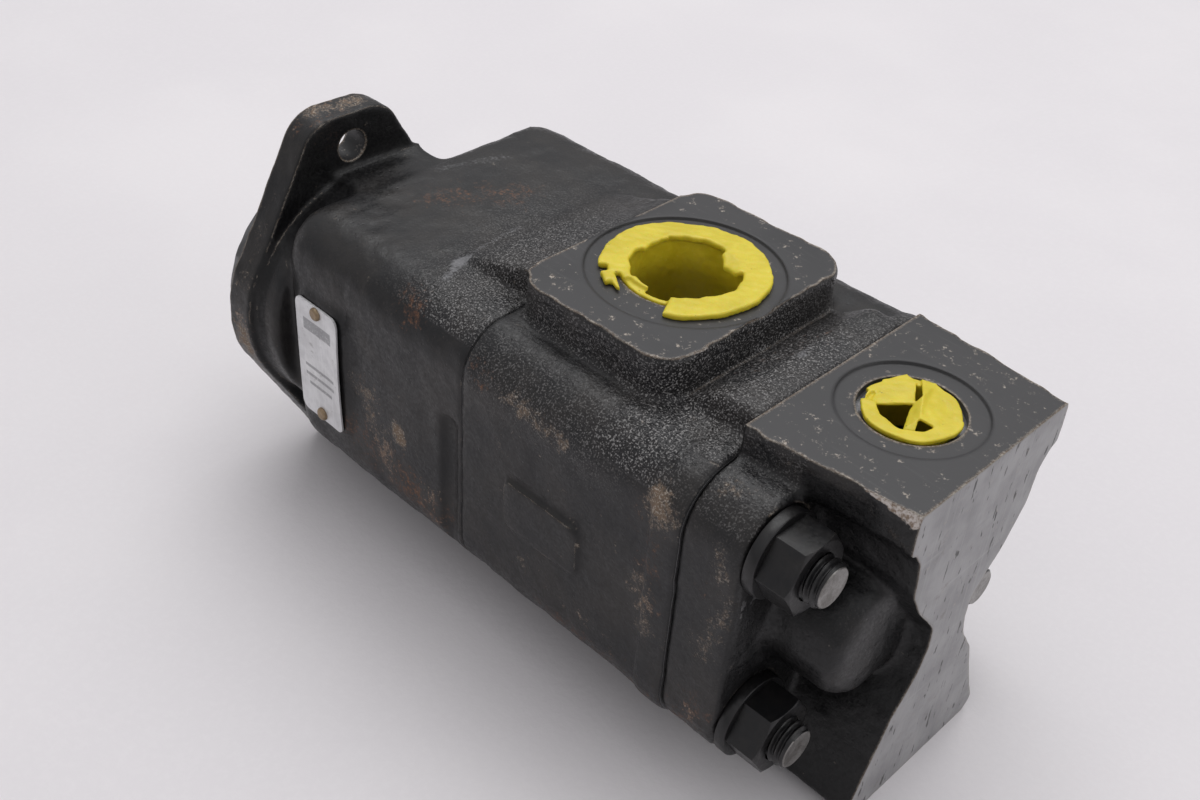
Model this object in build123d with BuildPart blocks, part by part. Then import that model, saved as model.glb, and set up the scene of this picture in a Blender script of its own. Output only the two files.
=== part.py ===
from build123d import *
from math import acos, cos, pi, radians, sin, tan
import os

# Tandem hydraulic gear pump, millimetres.
# Origin: centre of the mounting-flange face, on the input-shaft axis.
# +X runs from the flange to the rear cover, +Y from the drive gears to the driven gears,
# +Z up, the side of the inlet and outlet ports.

# ---- driving dimensions -------------------------------------------------------------------
# Mounting flange, SAE A two-bolt
PILOT_R = 41.275
PILOT_LENGTH = 6.35
PILOT_CHAMFER = 0.8
NECK_R = PILOT_R + 1.0
EAR_THICKNESS = 11.0
BOLT_HOLE_R = 5.55
BOLT_SPACING = 106.4
EAR_TIP_Z = 65.0
EAR_TIP_HALF_WIDTH = 15.0
EAR_CORNER_R = 13.0
FLANGE_HALF_WIDTH = 45.5
FLANGE_SHOULDER_Z = 10.0
FLANGE_SIDE_R = 35.0

# Casing length stations
NECK_END_X = 19.0
JOINT_1_X = 108.6
JOINT_2_X = 194.0
COVER_PLATE_X = 213.5
REAR_X = 244.5

# Casing cross-section, centred midway between the gear axes. ROOTED and OVERLAP say how far
# one shape runs into the next before they join.
GEAR_CENTRES = 44.0
DRIVE_Y = 0.0
DRIVEN_Y = GEAR_CENTRES
MID_Y = GEAR_CENTRES / 2
CASE_WIDTH = 118.0
CASE_HEIGHT = 91.4
CASE_CORNER_R = 16.0
FRONT_EDGE_R = 11.0
TOP_Z = CASE_HEIGHT / 2
NEAR_Y = MID_Y - CASE_WIDTH / 2
FAR_Y = MID_Y + CASE_WIDTH / 2
ROOTED = 4.0
OVERLAP = 1.0

# Gears
TEETH = 12
GEAR_MODULE = GEAR_CENTRES / TEETH
PRESSURE_ANGLE = 25.0
ADDENDUM = 0.9 * GEAR_MODULE
DEDENDUM = 1.2 * GEAR_MODULE
BACKLASH = 0.3
FLANK_STEPS = 4
FLANK_START = 0.01
GEAR_WIDTH = 25.4
SIDE_CLEARANCE = 0.1
TIP_R = GEAR_CENTRES / 2 + ADDENDUM
TIP_CLEARANCE = 0.15
CHAMBER_R = TIP_R + TIP_CLEARANCE
MESH_TURN = 180.0 / TEETH

# Bearing blocks, journals and bushes
BLOCK_WIDTH = 20.0
BLOCK_CLEARANCE = 0.05
JOURNAL_R = 12.7
JOURNAL_CLEARANCE = 0.04
JOURNAL_GAP = 1.0
BUSH_WALL = 1.8
BUSH_R = JOURNAL_R + JOURNAL_CLEARANCE + BUSH_WALL
BUSH_SHORT = 1.0
CHAMBER_DEPTH = GEAR_WIDTH + 2 * BLOCK_WIDTH
FRONT_CHAMBER_X = JOINT_1_X - CHAMBER_DEPTH
REAR_CHAMBER_X = JOINT_2_X - CHAMBER_DEPTH
FRONT_GEAR_X = FRONT_CHAMBER_X + BLOCK_WIDTH
REAR_GEAR_X = REAR_CHAMBER_X + BLOCK_WIDTH
BLOCK_SEAL_WIDTH = 2.2
BLOCK_SEAL_DEPTH = 1.6
BLOCK_SEAL_INSET = 2.8

# Input shaft, SAE A 11-tooth spline, 16/32 pitch
SHAFT_LENGTH = 38.0
SHAFT_SPLINE_TEETH = 11
SHAFT_SPLINE_LENGTH = 30.0
SPLINE_PITCH_R = 8.73
SPLINE_ADDENDUM = 0.75
SPLINE_DEDENDUM = 1.1
SPLINE_PRESSURE_ANGLE = 30.0
SPLINE_PLAY = 0.1
SHAFT_R = 11.0
SHAFT_BORE_R = 11.6
SHAFT_CHAMFER = 0.6

# Spline coupling between the two drive gears
COUPLING_R = 14.4
COUPLING_BORE_R = 15.3
COUPLING_END_GAP = 1.0
COUPLING_CLEARANCE = 0.1
STUB_LENGTH = 8.8

# Shaft seal
SEAL_POCKET_R = 17.5
SEAL_POCKET_DEPTH = 12.0
SEAL_WIDTH = 8.0
SEAL_LIP_R = SHAFT_R + 0.08
SEAL_LIP_SHORT = 1.0
SEAL_WEB = 1.6
SEAL_X = -PILOT_LENGTH + SEAL_POCKET_DEPTH - SEAL_WIDTH
SPRING_R = 0.7
SPRING_INSET = 3.0
SPRING_CLEARANCE = 0.1
RING_WIDTH = 1.5
RING_PLAY = 0.1
RING_X = SEAL_X - RING_WIDTH
RING_GROOVE_R = 18.6
RING_INNER_R = 15.4
RING_GAP = 8.0
RING_EYE_OFFSET = 6.2
RING_EYE_RISE = 1.2
RING_EYE_R = 2.6
RING_EYE_HOLE_R = 1.0

# Tie studs, washers and nuts, M14
STUD_R = 7.0
STUD_HOLE_R = 7.2
STUD_FRONT_X = 50.6
STUD_REAR_X = 232.4
STUD_CHAMFER = 1.2
STUD_END_GAP = 2.0
STUD_OFFSET_Y = 45.7
STUD_OFFSET_Z = 30.8
WASHER_R = 13.0
WASHER_THICKNESS = 3.5
WASHER_CLEARANCE = 0.1
NUT_ACROSS_FLATS = 21.0
NUT_HEIGHT = 10.0
NUT_CHAMFER = 1.6
NUT_CORNER_R = NUT_ACROSS_FLATS / 2 / cos(pi / 6)
NUT_X = COVER_PLATE_X + WASHER_THICKNESS
THREAD_CLEARANCE = 0.05

# Dowels
DOWEL_R = 3.5
DOWEL_LENGTH = 14.0
DOWEL_CHAMFER = 0.6
DOWEL_HOLE_CLEARANCE = 0.02
DOWEL_Z = 38.0
DOWEL_INSET = 5.0

# Section seals, one ring in a groove at each joint
SEAL_GROOVE_INNER = 1.3
SEAL_GROOVE_WIDTH = 1.5
SEAL_GROOVE_DEPTH = 1.2

# Inlet boss and port, SAE 20 straight thread
INLET_TOP_Z = 58.5
INLET_REAR_X = 168.4
INLET_WIDTH = 80.0
INLET_CORNER_R = 10.0
INLET_BORE_R = 19.5
INLET_SPOTFACE_R = 29.5
INLET_BOTTOM_Z = 21.0
INLET_X = (JOINT_1_X + INLET_REAR_X) / 2

# Outlet block and port, SAE 12 straight thread
OUTLET_X = 218.1
OUTLET_TOP_Z = 55.2
OUTLET_FRONT_HALF = 39.5
OUTLET_REAR_HALF = 34.0
OUTLET_ROOT_Z = 42.0
OUTLET_BORE_R = 12.4
OUTLET_MOUTH_R = 14.6
OUTLET_MOUTH_DEPTH = 3.2
OUTLET_SPOTFACE_R = 20.5
OUTLET_BOTTOM_Z = 18.0
SPOTFACE_DEPTH = 0.8

# Cored passages between the ports and the gear chambers
PASSAGE_WIDTH = 20.0
PASSAGE_CORNER_R = 5.0
PASSAGE_TOP_Z = 36.0
PASSAGE_INNER_Z = 10.5
GALLERY_LENGTH = 20.0
GALLERY_WIDTH = 15.0
GALLERY_CORNER_R = 5.0

# Casting details
END_BAND = 10.3
END_BAND_RISE = 1.0
TOP_PAD_FRONT_X = 169.0
TOP_PAD_CREST_X = 183.0
TOP_PAD_Z = 54.7
TOP_PAD_HALF = 33.0
BULGE_FRONT_X = 77.0
BULGE_CREST_X = 84.0
BULGE_CREST_Z = 48.6
BULGE_REAR_Z = 57.0
BULGE_HALF = 32.0
SIDE_RELIEF_DEPTH = 1.8
SIDE_RELIEF_LENGTH = 7.0
SIDE_RELIEF_GAP = 2.5
SIDE_RELIEF_CORNER_R = 2.3
SIDE_RELIEF_TOP_Z = 13.0
LUG_R = 10.5
LUG_LENGTH = 28.0
LUG_TAPER = 4.0
LUG_INSET_Y = 13.5
LUG_INSET_Z = 12.0
EAR_WEB_WIDTH = 36.0
EAR_WEB_OFFSET = 10.0
EAR_WEB_Z = 44.5
EAR_WEB_LENGTH = 12.0
JOURNAL_BOSS_R = 21.0
JOURNAL_BOSS_END_X = 236.5
JOURNAL_BOSS_ROUND = 6.0

# Half of the ground rear face, as distances from its middle line and heights
REAR_FACE_HALF = [
    (34.0, 55.2),
    (34.5, 46.0),
    (28.0, 36.0),
    (26.5, 24.0),
    (20.0, 12.5),
    (9.6, 0.5),
    (9.0, -8.0),
    (11.5, -16.0),
    (19.5, -27.5),
    (23.5, -38.0),
    (29.5, -53.0),
    (33.0, -60.5),
    (29.0, -64.0),
]
REAR_FACE_FILLET = 2.5

# Nameplate on the near side of the front housing
PLATE_X = 41.1
PLATE_Z = -1.0
PLATE_WIDTH = 22.0
PLATE_HEIGHT = 45.0
PLATE_THICKNESS = 0.8
PLATE_CORNER_R = 3.0
PAD_MARGIN = 1.5
PAD_RISE = 1.5
PLATE_Y = NEAR_Y - PAD_RISE
RIVET_R = 1.4
RIVET_CLEARANCE = 0.02
RIVET_HEAD_R = 2.3
RIVET_DEPTH = 4.5
RIVET_END_GAP = 0.5
RIVET_HEAD_HEIGHT = 1.2
RIVET_HEAD_ROUND = 0.96
RIVET_SPACING = 40.0

# Generic cast pad on the near side of the centre housing
SIDE_PAD_X = 144.0
SIDE_PAD_Z = -2.0
SIDE_PAD_LENGTH = 31.0
SIDE_PAD_HEIGHT = 19.0
SIDE_PAD_RISE = 1.4
SIDE_PAD_CORNER_R = 4.7

# Port plugs
PLUG_FLANGE_R = 25.1
PLUG_FLANGE_THICKNESS = 2.0
PLUG_SKIRT_R = 19.3
PLUG_WALL = 1.6
PLUG_DEPTH = 24.0
PLUG_HOLE_R = 15.3
CAP_R = 12.2
CAP_DEPTH = 13.0
CAP_RIM_R = 14.3
CAP_RIM_THICKNESS = 1.6
CAP_HOLE_R = 7.0

STUD_PLACES = [
    (MID_Y + side * STUD_OFFSET_Y, top * STUD_OFFSET_Z) for side in (-1, 1) for top in (1, -1)
]
DOWEL_PLACES = [(DRIVE_Y - DOWEL_INSET, DOWEL_Z), (DRIVEN_Y + DOWEL_INSET, -DOWEL_Z)]
RIVET_PLACES = [(PLATE_X, PLATE_Z + end * RIVET_SPACING / 2) for end in (1, -1)]

os.makedirs("parts", exist_ok=True)


# ---- shared profiles ----------------------------------------------------------------------
def station(x):
    """The plane across the pump at a length station: its x runs along +Y and its y along +Z."""
    return Plane.YZ.offset(x)


def involute(angle):
    """Involute function of a pressure angle in radians."""
    return tan(angle) - angle


def at(radius, angle, centre_y=0.0):
    """A point of a station plane, given round an axis at centre_y."""
    return (centre_y + radius * cos(angle), radius * sin(angle))


def tooth_outline(teeth, pitch_r, addendum, dedendum, pressure_deg, play, centre_y=0.0, turn_deg=0.0):
    """Closed outline of an involute gear or spline, drawn in the active BuildLine."""
    pressure = radians(pressure_deg)
    base_r = pitch_r * cos(pressure)
    tip_r = pitch_r + addendum
    root_r = pitch_r - dedendum
    start_r = max(base_r, root_r) + FLANK_START
    half_pitch = pi / (2 * teeth) - play / (2 * pitch_r) + involute(pressure)
    rise = (tip_r - start_r) / FLANK_STEPS
    flank_radii = [start_r + rise * step for step in range(FLANK_STEPS + 1)]
    flank = [(r, half_pitch - involute(acos(base_r / r))) for r in flank_radii]
    root_half = flank[0][1]
    for tooth in range(teeth):
        middle = radians(turn_deg) + 2 * pi * tooth / teeth
        rising = [at(r, middle - half, centre_y) for r, half in flank]
        falling = [at(r, middle + half, centre_y) for r, half in reversed(flank)]
        foot_in = at(root_r, middle - root_half, centre_y)
        foot_out = at(root_r, middle + root_half, centre_y)
        next_foot = at(root_r, middle + 2 * pi / teeth - root_half, centre_y)
        Line(foot_in, rising[0])
        Spline(*rising)
        ThreePointArc(rising[-1], at(tip_r, middle, centre_y), falling[0])
        Spline(*falling)
        Line(falling[-1], foot_out)
        ThreePointArc(foot_out, at(root_r, middle + pi / teeth, centre_y), next_foot)


def gear_teeth(centre_y, turn_deg):
    """Gear outline at one of the two gear axes."""
    tooth_outline(TEETH, GEAR_CENTRES / 2, ADDENDUM, DEDENDUM, PRESSURE_ANGLE, BACKLASH, centre_y, turn_deg)


def spline_teeth(growth):
    """Outline of the shaft spline, grown by a clearance for the coupling's bore."""
    tooth_outline(
        SHAFT_SPLINE_TEETH,
        SPLINE_PITCH_R,
        SPLINE_ADDENDUM + growth,
        SPLINE_DEDENDUM - growth,
        SPLINE_PRESSURE_ANGLE,
        SPLINE_PLAY - 2 * growth,
    )


def twin_circles(radius):
    """Two circles on the gear axes, in the active sketch."""
    with Locations((DRIVE_Y, 0), (DRIVEN_Y, 0)):
        Circle(radius)


def case_section(growth=0.0):
    """The casing's rounded outline, in the active sketch."""
    with Locations((MID_Y, 0)):
        RectangleRounded(CASE_WIDTH + 2 * growth, CASE_HEIGHT + 2 * growth, CASE_CORNER_R + growth)


def cut_stud_holes(from_x, to_x):
    """Four tie-stud holes between two stations, cut from the active part."""
    with BuildSketch(station(from_x)) as holes:
        with Locations(*STUD_PLACES):
            Circle(STUD_HOLE_R)
    extrude(holes.sketch, amount=to_x - from_x, mode=Mode.SUBTRACT)


def cut_dowel_holes(joint_x, direction):
    """Two dowel holes into one side of a joint, cut from the active part."""
    with BuildSketch(station(joint_x)) as holes:
        with Locations(*DOWEL_PLACES):
            Circle(DOWEL_R + DOWEL_HOLE_CLEARANCE)
    extrude(holes.sketch, amount=direction * (DOWEL_LENGTH / 2 + JOURNAL_GAP), mode=Mode.SUBTRACT)


def cut_passage(from_x, to_x, low_z, high_z):
    """A cored passage with rounded ends, along the pump, cut from the active part."""
    with BuildSketch(station(from_x)) as mouth:
        with Locations((MID_Y, (low_z + high_z) / 2)):
            RectangleRounded(PASSAGE_WIDTH, high_z - low_z, PASSAGE_CORNER_R)
    extrude(mouth.sketch, amount=to_x - from_x, mode=Mode.SUBTRACT)


def raised_top(profile, half_width):
    """A raised area on a casing's top, from its (x, z) side profile."""
    with BuildSketch(Plane.XZ.offset(-MID_Y)) as side:
        with BuildLine():
            Polyline(*profile, close=True)
        make_face()
    extrude(side.sketch, amount=half_width, both=True)


def seal_loop(growth):
    """Outline round the gear chamber and both passages, in the active sketch."""
    twin_circles(CHAMBER_R + growth)
    with Locations((MID_Y, 0)):
        RectangleRounded(
            PASSAGE_WIDTH + 2 * growth, 2 * PASSAGE_TOP_Z + 2 * growth, PASSAGE_CORNER_R + growth
        )


def section_seal_ring(joint_x):
    """Profile of the seal ring, and of its groove, at the groove's bottom in front of a joint."""
    with BuildSketch(Plane.XY, mode=Mode.PRIVATE) as inner:
        seal_loop(SEAL_GROOVE_INNER)
    with BuildSketch(station(joint_x - SEAL_GROOVE_DEPTH), mode=Mode.PRIVATE) as ring:
        seal_loop(SEAL_GROOVE_INNER + SEAL_GROOVE_WIDTH)
        add(inner.sketch, mode=Mode.SUBTRACT)
    return ring.sketch


# ---- front housing: flange, gear chamber and shaft bore, one casting --------------------------
with BuildPart() as front_housing:
    with BuildSketch(station(NECK_END_X)):
        case_section()
    extrude(amount=JOINT_1_X - NECK_END_X)
    fillet(front_housing.faces().sort_by(Axis.X)[0].edges(), radius=FRONT_EDGE_R)

    # Flange with two ears, and the neck behind it
    with BuildSketch(Plane.YZ) as flange_outline:
        with BuildLine():
            Polyline(
                (EAR_TIP_HALF_WIDTH, EAR_TIP_Z),
                (-EAR_TIP_HALF_WIDTH, EAR_TIP_Z),
                (-FLANGE_HALF_WIDTH, FLANGE_SHOULDER_Z),
                (-FLANGE_HALF_WIDTH, -FLANGE_SHOULDER_Z),
                (-EAR_TIP_HALF_WIDTH, -EAR_TIP_Z),
                (EAR_TIP_HALF_WIDTH, -EAR_TIP_Z),
                (FLANGE_HALF_WIDTH, -FLANGE_SHOULDER_Z),
                (FLANGE_HALF_WIDTH, FLANGE_SHOULDER_Z),
                close=True,
            )
        make_face()
        tips = flange_outline.vertices().filter_by(lambda v: abs(v.Y) > PILOT_R)
        fillet(tips, radius=EAR_CORNER_R)
        shoulders = flange_outline.vertices().filter_by(lambda v: abs(v.Y) < PILOT_R)
        fillet(shoulders, radius=FLANGE_SIDE_R)
    extrude(amount=EAR_THICKNESS)
    with BuildSketch(station(EAR_THICKNESS - OVERLAP)):
        Circle(NECK_R)
    extrude(amount=NECK_END_X - EAR_THICKNESS + 3 * OVERLAP)
    with BuildSketch(station(-PILOT_LENGTH)):
        Circle(PILOT_R)
    extrude(amount=PILOT_LENGTH)
    chamfer(front_housing.faces().sort_by(Axis.X)[0].edges(), length=PILOT_CHAMFER)

    # Webs that carry the ears back onto the casing
    for side in (1, -1):
        with BuildSketch(Plane.XZ.offset(-(DRIVE_Y + EAR_WEB_OFFSET))):
            with BuildLine():
                Polyline(
                    (EAR_THICKNESS - OVERLAP, side * (EAR_WEB_Z - 2 * ROOTED)),
                    (EAR_THICKNESS - OVERLAP, side * (EAR_WEB_Z + OVERLAP)),
                    (EAR_THICKNESS + 2 * OVERLAP, side * EAR_WEB_Z),
                    (NECK_END_X + EAR_WEB_LENGTH, side * EAR_WEB_Z),
                    (NECK_END_X + EAR_WEB_LENGTH, side * (EAR_WEB_Z - 2 * ROOTED)),
                    close=True,
                )
            make_face()
        extrude(amount=EAR_WEB_WIDTH / 2, both=True)

    # Bulge over the passage to the inlet, a stud lug at the far top corner, the nameplate pad
    raised_top(
        [
            (BULGE_FRONT_X, TOP_Z - ROOTED),
            (BULGE_FRONT_X, TOP_Z),
            (BULGE_CREST_X, BULGE_CREST_Z),
            (JOINT_1_X, BULGE_REAR_Z),
            (JOINT_1_X, TOP_Z - ROOTED),
        ],
        BULGE_HALF,
    )
    with BuildSketch(station(NECK_END_X + ROOTED)):
        with Locations((FAR_Y - LUG_INSET_Y, TOP_Z - LUG_INSET_Z)):
            Circle(LUG_R)
    extrude(amount=LUG_LENGTH, taper=LUG_TAPER)
    with BuildSketch(Plane.XZ.offset(-NEAR_Y - ROOTED)):
        with Locations((PLATE_X, PLATE_Z)):
            RectangleRounded(
                PLATE_WIDTH + 2 * PAD_MARGIN, PLATE_HEIGHT + 2 * PAD_MARGIN, PLATE_CORNER_R + PAD_MARGIN
            )
    extrude(amount=PAD_RISE + ROOTED)

    # Relief on the near side in front of the joint
    with BuildSketch(Plane.XZ.offset(-NEAR_Y - SIDE_RELIEF_DEPTH)):
        with Locations((JOINT_1_X - SIDE_RELIEF_LENGTH / 2 - SIDE_RELIEF_GAP, SIDE_RELIEF_TOP_Z - TOP_Z)):
            RectangleRounded(SIDE_RELIEF_LENGTH, 2 * TOP_Z, SIDE_RELIEF_CORNER_R)
    extrude(amount=3 * SIDE_RELIEF_DEPTH, mode=Mode.SUBTRACT)

    # Gear chamber, passages, shaft bore and seal pocket
    with BuildSketch(station(FRONT_CHAMBER_X)):
        twin_circles(CHAMBER_R)
    extrude(amount=CHAMBER_DEPTH, mode=Mode.SUBTRACT)
    cut_passage(FRONT_CHAMBER_X + BLOCK_WIDTH, JOINT_1_X, PASSAGE_INNER_Z, PASSAGE_TOP_Z)
    cut_passage(FRONT_CHAMBER_X + BLOCK_WIDTH, JOINT_1_X, -PASSAGE_TOP_Z, -PASSAGE_INNER_Z)
    with BuildSketch(station(-PILOT_LENGTH)):
        Circle(SHAFT_BORE_R)
    extrude(amount=PILOT_LENGTH + FRONT_CHAMBER_X, mode=Mode.SUBTRACT)
    with BuildSketch(station(-PILOT_LENGTH)):
        Circle(SEAL_POCKET_R)
    extrude(amount=SEAL_POCKET_DEPTH, mode=Mode.SUBTRACT)
    with BuildSketch(station(RING_X)):
        Circle(RING_GROOVE_R)
    extrude(amount=RING_WIDTH, mode=Mode.SUBTRACT)

    # Bolt holes, stud holes, dowel holes, rivet holes
    with BuildSketch(Plane.YZ):
        with Locations((0, BOLT_SPACING / 2), (0, -BOLT_SPACING / 2)):
            Circle(BOLT_HOLE_R)
    extrude(amount=EAR_THICKNESS, mode=Mode.SUBTRACT)
    cut_stud_holes(STUD_FRONT_X - STUD_END_GAP, JOINT_1_X)
    cut_dowel_holes(JOINT_1_X, -1)
    with BuildSketch(Plane.XZ.offset(-NEAR_Y + PAD_RISE)):
        with Locations(*RIVET_PLACES):
            Circle(RIVET_R)
    extrude(amount=-RIVET_DEPTH, mode=Mode.SUBTRACT)

    # Groove for the section seal
    extrude(section_seal_ring(JOINT_1_X), amount=SEAL_GROOVE_DEPTH, mode=Mode.SUBTRACT)
front_housing.part.label = "front_housing"
export_step(front_housing.part, "parts/front_housing.step")

# ---- centre housing: inlet boss, partition and rear gear chamber -------------------------------
with BuildPart() as centre_housing:
    with BuildSketch(station(JOINT_1_X)):
        case_section()
    extrude(amount=JOINT_2_X - JOINT_1_X)
    with BuildSketch(station(JOINT_2_X - END_BAND)):
        case_section(END_BAND_RISE)
    extrude(amount=END_BAND)
    with BuildSketch(Plane.XY.offset(TOP_Z - ROOTED)):
        with Locations((INLET_X, MID_Y)):
            RectangleRounded(INLET_REAR_X - JOINT_1_X, INLET_WIDTH, INLET_CORNER_R)
    extrude(amount=INLET_TOP_Z - TOP_Z + ROOTED)
    raised_top(
        [
            (TOP_PAD_FRONT_X, TOP_Z - ROOTED),
            (TOP_PAD_FRONT_X, TOP_Z),
            (TOP_PAD_CREST_X, TOP_PAD_Z),
            (JOINT_2_X, TOP_PAD_Z),
            (JOINT_2_X, TOP_Z - ROOTED),
        ],
        TOP_PAD_HALF,
    )
    with BuildSketch(Plane.XZ.offset(-NEAR_Y - ROOTED)):
        with Locations((SIDE_PAD_X, SIDE_PAD_Z)):
            RectangleRounded(SIDE_PAD_LENGTH, SIDE_PAD_HEIGHT, SIDE_PAD_CORNER_R)
    extrude(amount=SIDE_PAD_RISE + ROOTED)

    # Rear gear chamber and the coupling's bore through the partition
    with BuildSketch(station(REAR_CHAMBER_X)):
        twin_circles(CHAMBER_R)
    extrude(amount=CHAMBER_DEPTH, mode=Mode.SUBTRACT)
    with BuildSketch(station(JOINT_1_X)):
        with Locations((DRIVE_Y, 0)):
            Circle(COUPLING_BORE_R)
    extrude(amount=REAR_CHAMBER_X - JOINT_1_X, mode=Mode.SUBTRACT)

    # Inlet port and its passage to both sections, and the pressure passage below
    with BuildSketch(Plane.XY.offset(INLET_TOP_Z)):
        with Locations((INLET_X, MID_Y)):
            Circle(INLET_BORE_R)
    extrude(amount=-(INLET_TOP_Z - INLET_BOTTOM_Z), mode=Mode.SUBTRACT)
    with BuildSketch(Plane.XY.offset(INLET_TOP_Z)):
        with Locations((INLET_X, MID_Y)):
            Circle(INLET_SPOTFACE_R)
    extrude(amount=-SPOTFACE_DEPTH, mode=Mode.SUBTRACT)
    cut_passage(JOINT_1_X, REAR_CHAMBER_X + BLOCK_WIDTH + GEAR_WIDTH, PASSAGE_INNER_Z, PASSAGE_TOP_Z)
    cut_passage(JOINT_1_X, JOINT_2_X, -PASSAGE_TOP_Z, -PASSAGE_INNER_Z)

    cut_stud_holes(JOINT_1_X, JOINT_2_X)
    cut_dowel_holes(JOINT_1_X, 1)
    cut_dowel_holes(JOINT_2_X, -1)
    extrude(section_seal_ring(JOINT_2_X), amount=SEAL_GROOVE_DEPTH, mode=Mode.SUBTRACT)
centre_housing.part.label = "centre_housing"
export_step(centre_housing.part, "parts/centre_housing.step")

# ---- rear cover: plate, outlet block and waisted body, one casting -----------------------------
with BuildPart() as rear_cover:
    with BuildSketch(station(JOINT_2_X)):
        case_section()
    extrude(amount=COVER_PLATE_X - JOINT_2_X)

    # Round bosses over the ends of the gear journals
    for axis_y in (DRIVE_Y, DRIVEN_Y):
        with BuildSketch(station(COVER_PLATE_X)):
            with Locations((axis_y, 0)):
                Circle(JOURNAL_BOSS_R)
        extrude(amount=JOURNAL_BOSS_END_X - COVER_PLATE_X)
    boss_rims = rear_cover.edges().filter_by(GeomType.CIRCLE).group_by(Axis.X)[-1]
    fillet(boss_rims, radius=JOURNAL_BOSS_ROUND)

    with BuildSketch(station(COVER_PLATE_X - ROOTED)) as waisted:
        with BuildLine():
            right = [(MID_Y + half, z) for half, z in REAR_FACE_HALF]
            left = [(MID_Y - half, z) for half, z in reversed(REAR_FACE_HALF)]
            Polyline(*right, *left, close=True)
        make_face()
        inner_corners = waisted.vertices().filter_by(lambda v: v.Y < OUTLET_TOP_Z - OVERLAP)
        fillet(inner_corners, radius=REAR_FACE_FILLET)
    extrude(amount=REAR_X - COVER_PLATE_X + ROOTED)
    with BuildSketch(Plane.XY.offset(OUTLET_ROOT_Z)):
        with BuildLine():
            Polyline(
                (JOINT_2_X, MID_Y - OUTLET_FRONT_HALF),
                (REAR_X, MID_Y - OUTLET_REAR_HALF),
                (REAR_X, MID_Y + OUTLET_REAR_HALF),
                (JOINT_2_X, MID_Y + OUTLET_FRONT_HALF),
                close=True,
            )
        make_face()
    extrude(amount=OUTLET_TOP_Z - OUTLET_ROOT_Z)

    # Outlet port and the gallery that feeds it from the pressure passage
    for radius, depth in (
        (OUTLET_BORE_R, OUTLET_TOP_Z - OUTLET_BOTTOM_Z),
        (OUTLET_MOUTH_R, OUTLET_MOUTH_DEPTH),
        (OUTLET_SPOTFACE_R, SPOTFACE_DEPTH),
    ):
        with BuildSketch(Plane.XY.offset(OUTLET_TOP_Z)):
            with Locations((OUTLET_X, MID_Y)):
                Circle(radius)
        extrude(amount=-depth, mode=Mode.SUBTRACT)
    with BuildSketch(Plane.XY.offset(-PASSAGE_TOP_Z)):
        with Locations((OUTLET_X, MID_Y)):
            RectangleRounded(GALLERY_LENGTH, GALLERY_WIDTH, GALLERY_CORNER_R)
    extrude(amount=PASSAGE_TOP_Z + OUTLET_BOTTOM_Z + ROOTED, mode=Mode.SUBTRACT)
    cut_passage(JOINT_2_X, OUTLET_X, -PASSAGE_TOP_Z, -PASSAGE_INNER_Z)

    cut_stud_holes(JOINT_2_X, COVER_PLATE_X)
    cut_dowel_holes(JOINT_2_X, 1)
rear_cover.part.label = "rear_cover"
export_step(rear_cover.part, "parts/rear_cover.step")

# ---- rotating parts --------------------------------------------------------------------------


def round_length(from_x, to_x, radius, centre_y=0.0):
    """A plain cylindrical length of a shaft, added to the active part."""
    with BuildSketch(station(from_x)) as disc:
        with Locations((centre_y, 0)):
            Circle(radius)
    extrude(disc.sketch, amount=to_x - from_x)


def toothed_length(from_x, to_x, centre_y, turn_deg):
    """The gear on a shaft, added to the active part."""
    with BuildSketch(station(from_x)) as disc:
        with BuildLine():
            gear_teeth(centre_y, turn_deg)
        make_face()
    extrude(disc.sketch, amount=to_x - from_x)


def splined_length(from_x, to_x):
    """A splined length on the drive axis, added to the active part."""
    with BuildSketch(station(from_x)) as disc:
        with BuildLine():
            spline_teeth(0.0)
        make_face()
    extrude(disc.sketch, amount=to_x - from_x)


# Input shaft with its front drive gear, one forging
with BuildPart() as drive_shaft:
    splined_length(-SHAFT_LENGTH, -SHAFT_LENGTH + SHAFT_SPLINE_LENGTH)
    round_length(-SHAFT_LENGTH + SHAFT_SPLINE_LENGTH, FRONT_CHAMBER_X, SHAFT_R)
    chamfer(drive_shaft.edges().group_by(Axis.X)[0], length=SHAFT_CHAMFER)
    round_length(FRONT_CHAMBER_X, FRONT_GEAR_X + SIDE_CLEARANCE, JOURNAL_R)
    toothed_length(FRONT_GEAR_X + SIDE_CLEARANCE, FRONT_GEAR_X + GEAR_WIDTH - SIDE_CLEARANCE, DRIVE_Y, 0)
    round_length(FRONT_GEAR_X + GEAR_WIDTH - SIDE_CLEARANCE, JOINT_1_X, JOURNAL_R)
    splined_length(JOINT_1_X, JOINT_1_X + STUB_LENGTH)
drive_shaft.part.label = "drive_shaft"
export_step(drive_shaft.part, "parts/drive_shaft.step")

with BuildPart() as rear_drive_gear:
    splined_length(REAR_CHAMBER_X - STUB_LENGTH, REAR_CHAMBER_X)
    round_length(REAR_CHAMBER_X, REAR_GEAR_X + SIDE_CLEARANCE, JOURNAL_R)
    toothed_length(REAR_GEAR_X + SIDE_CLEARANCE, REAR_GEAR_X + GEAR_WIDTH - SIDE_CLEARANCE, DRIVE_Y, 0)
    round_length(REAR_GEAR_X + GEAR_WIDTH - SIDE_CLEARANCE, JOINT_2_X - JOURNAL_GAP, JOURNAL_R)
rear_drive_gear.part.label = "rear_drive_gear"
export_step(rear_drive_gear.part, "parts/rear_drive_gear.step")

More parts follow.
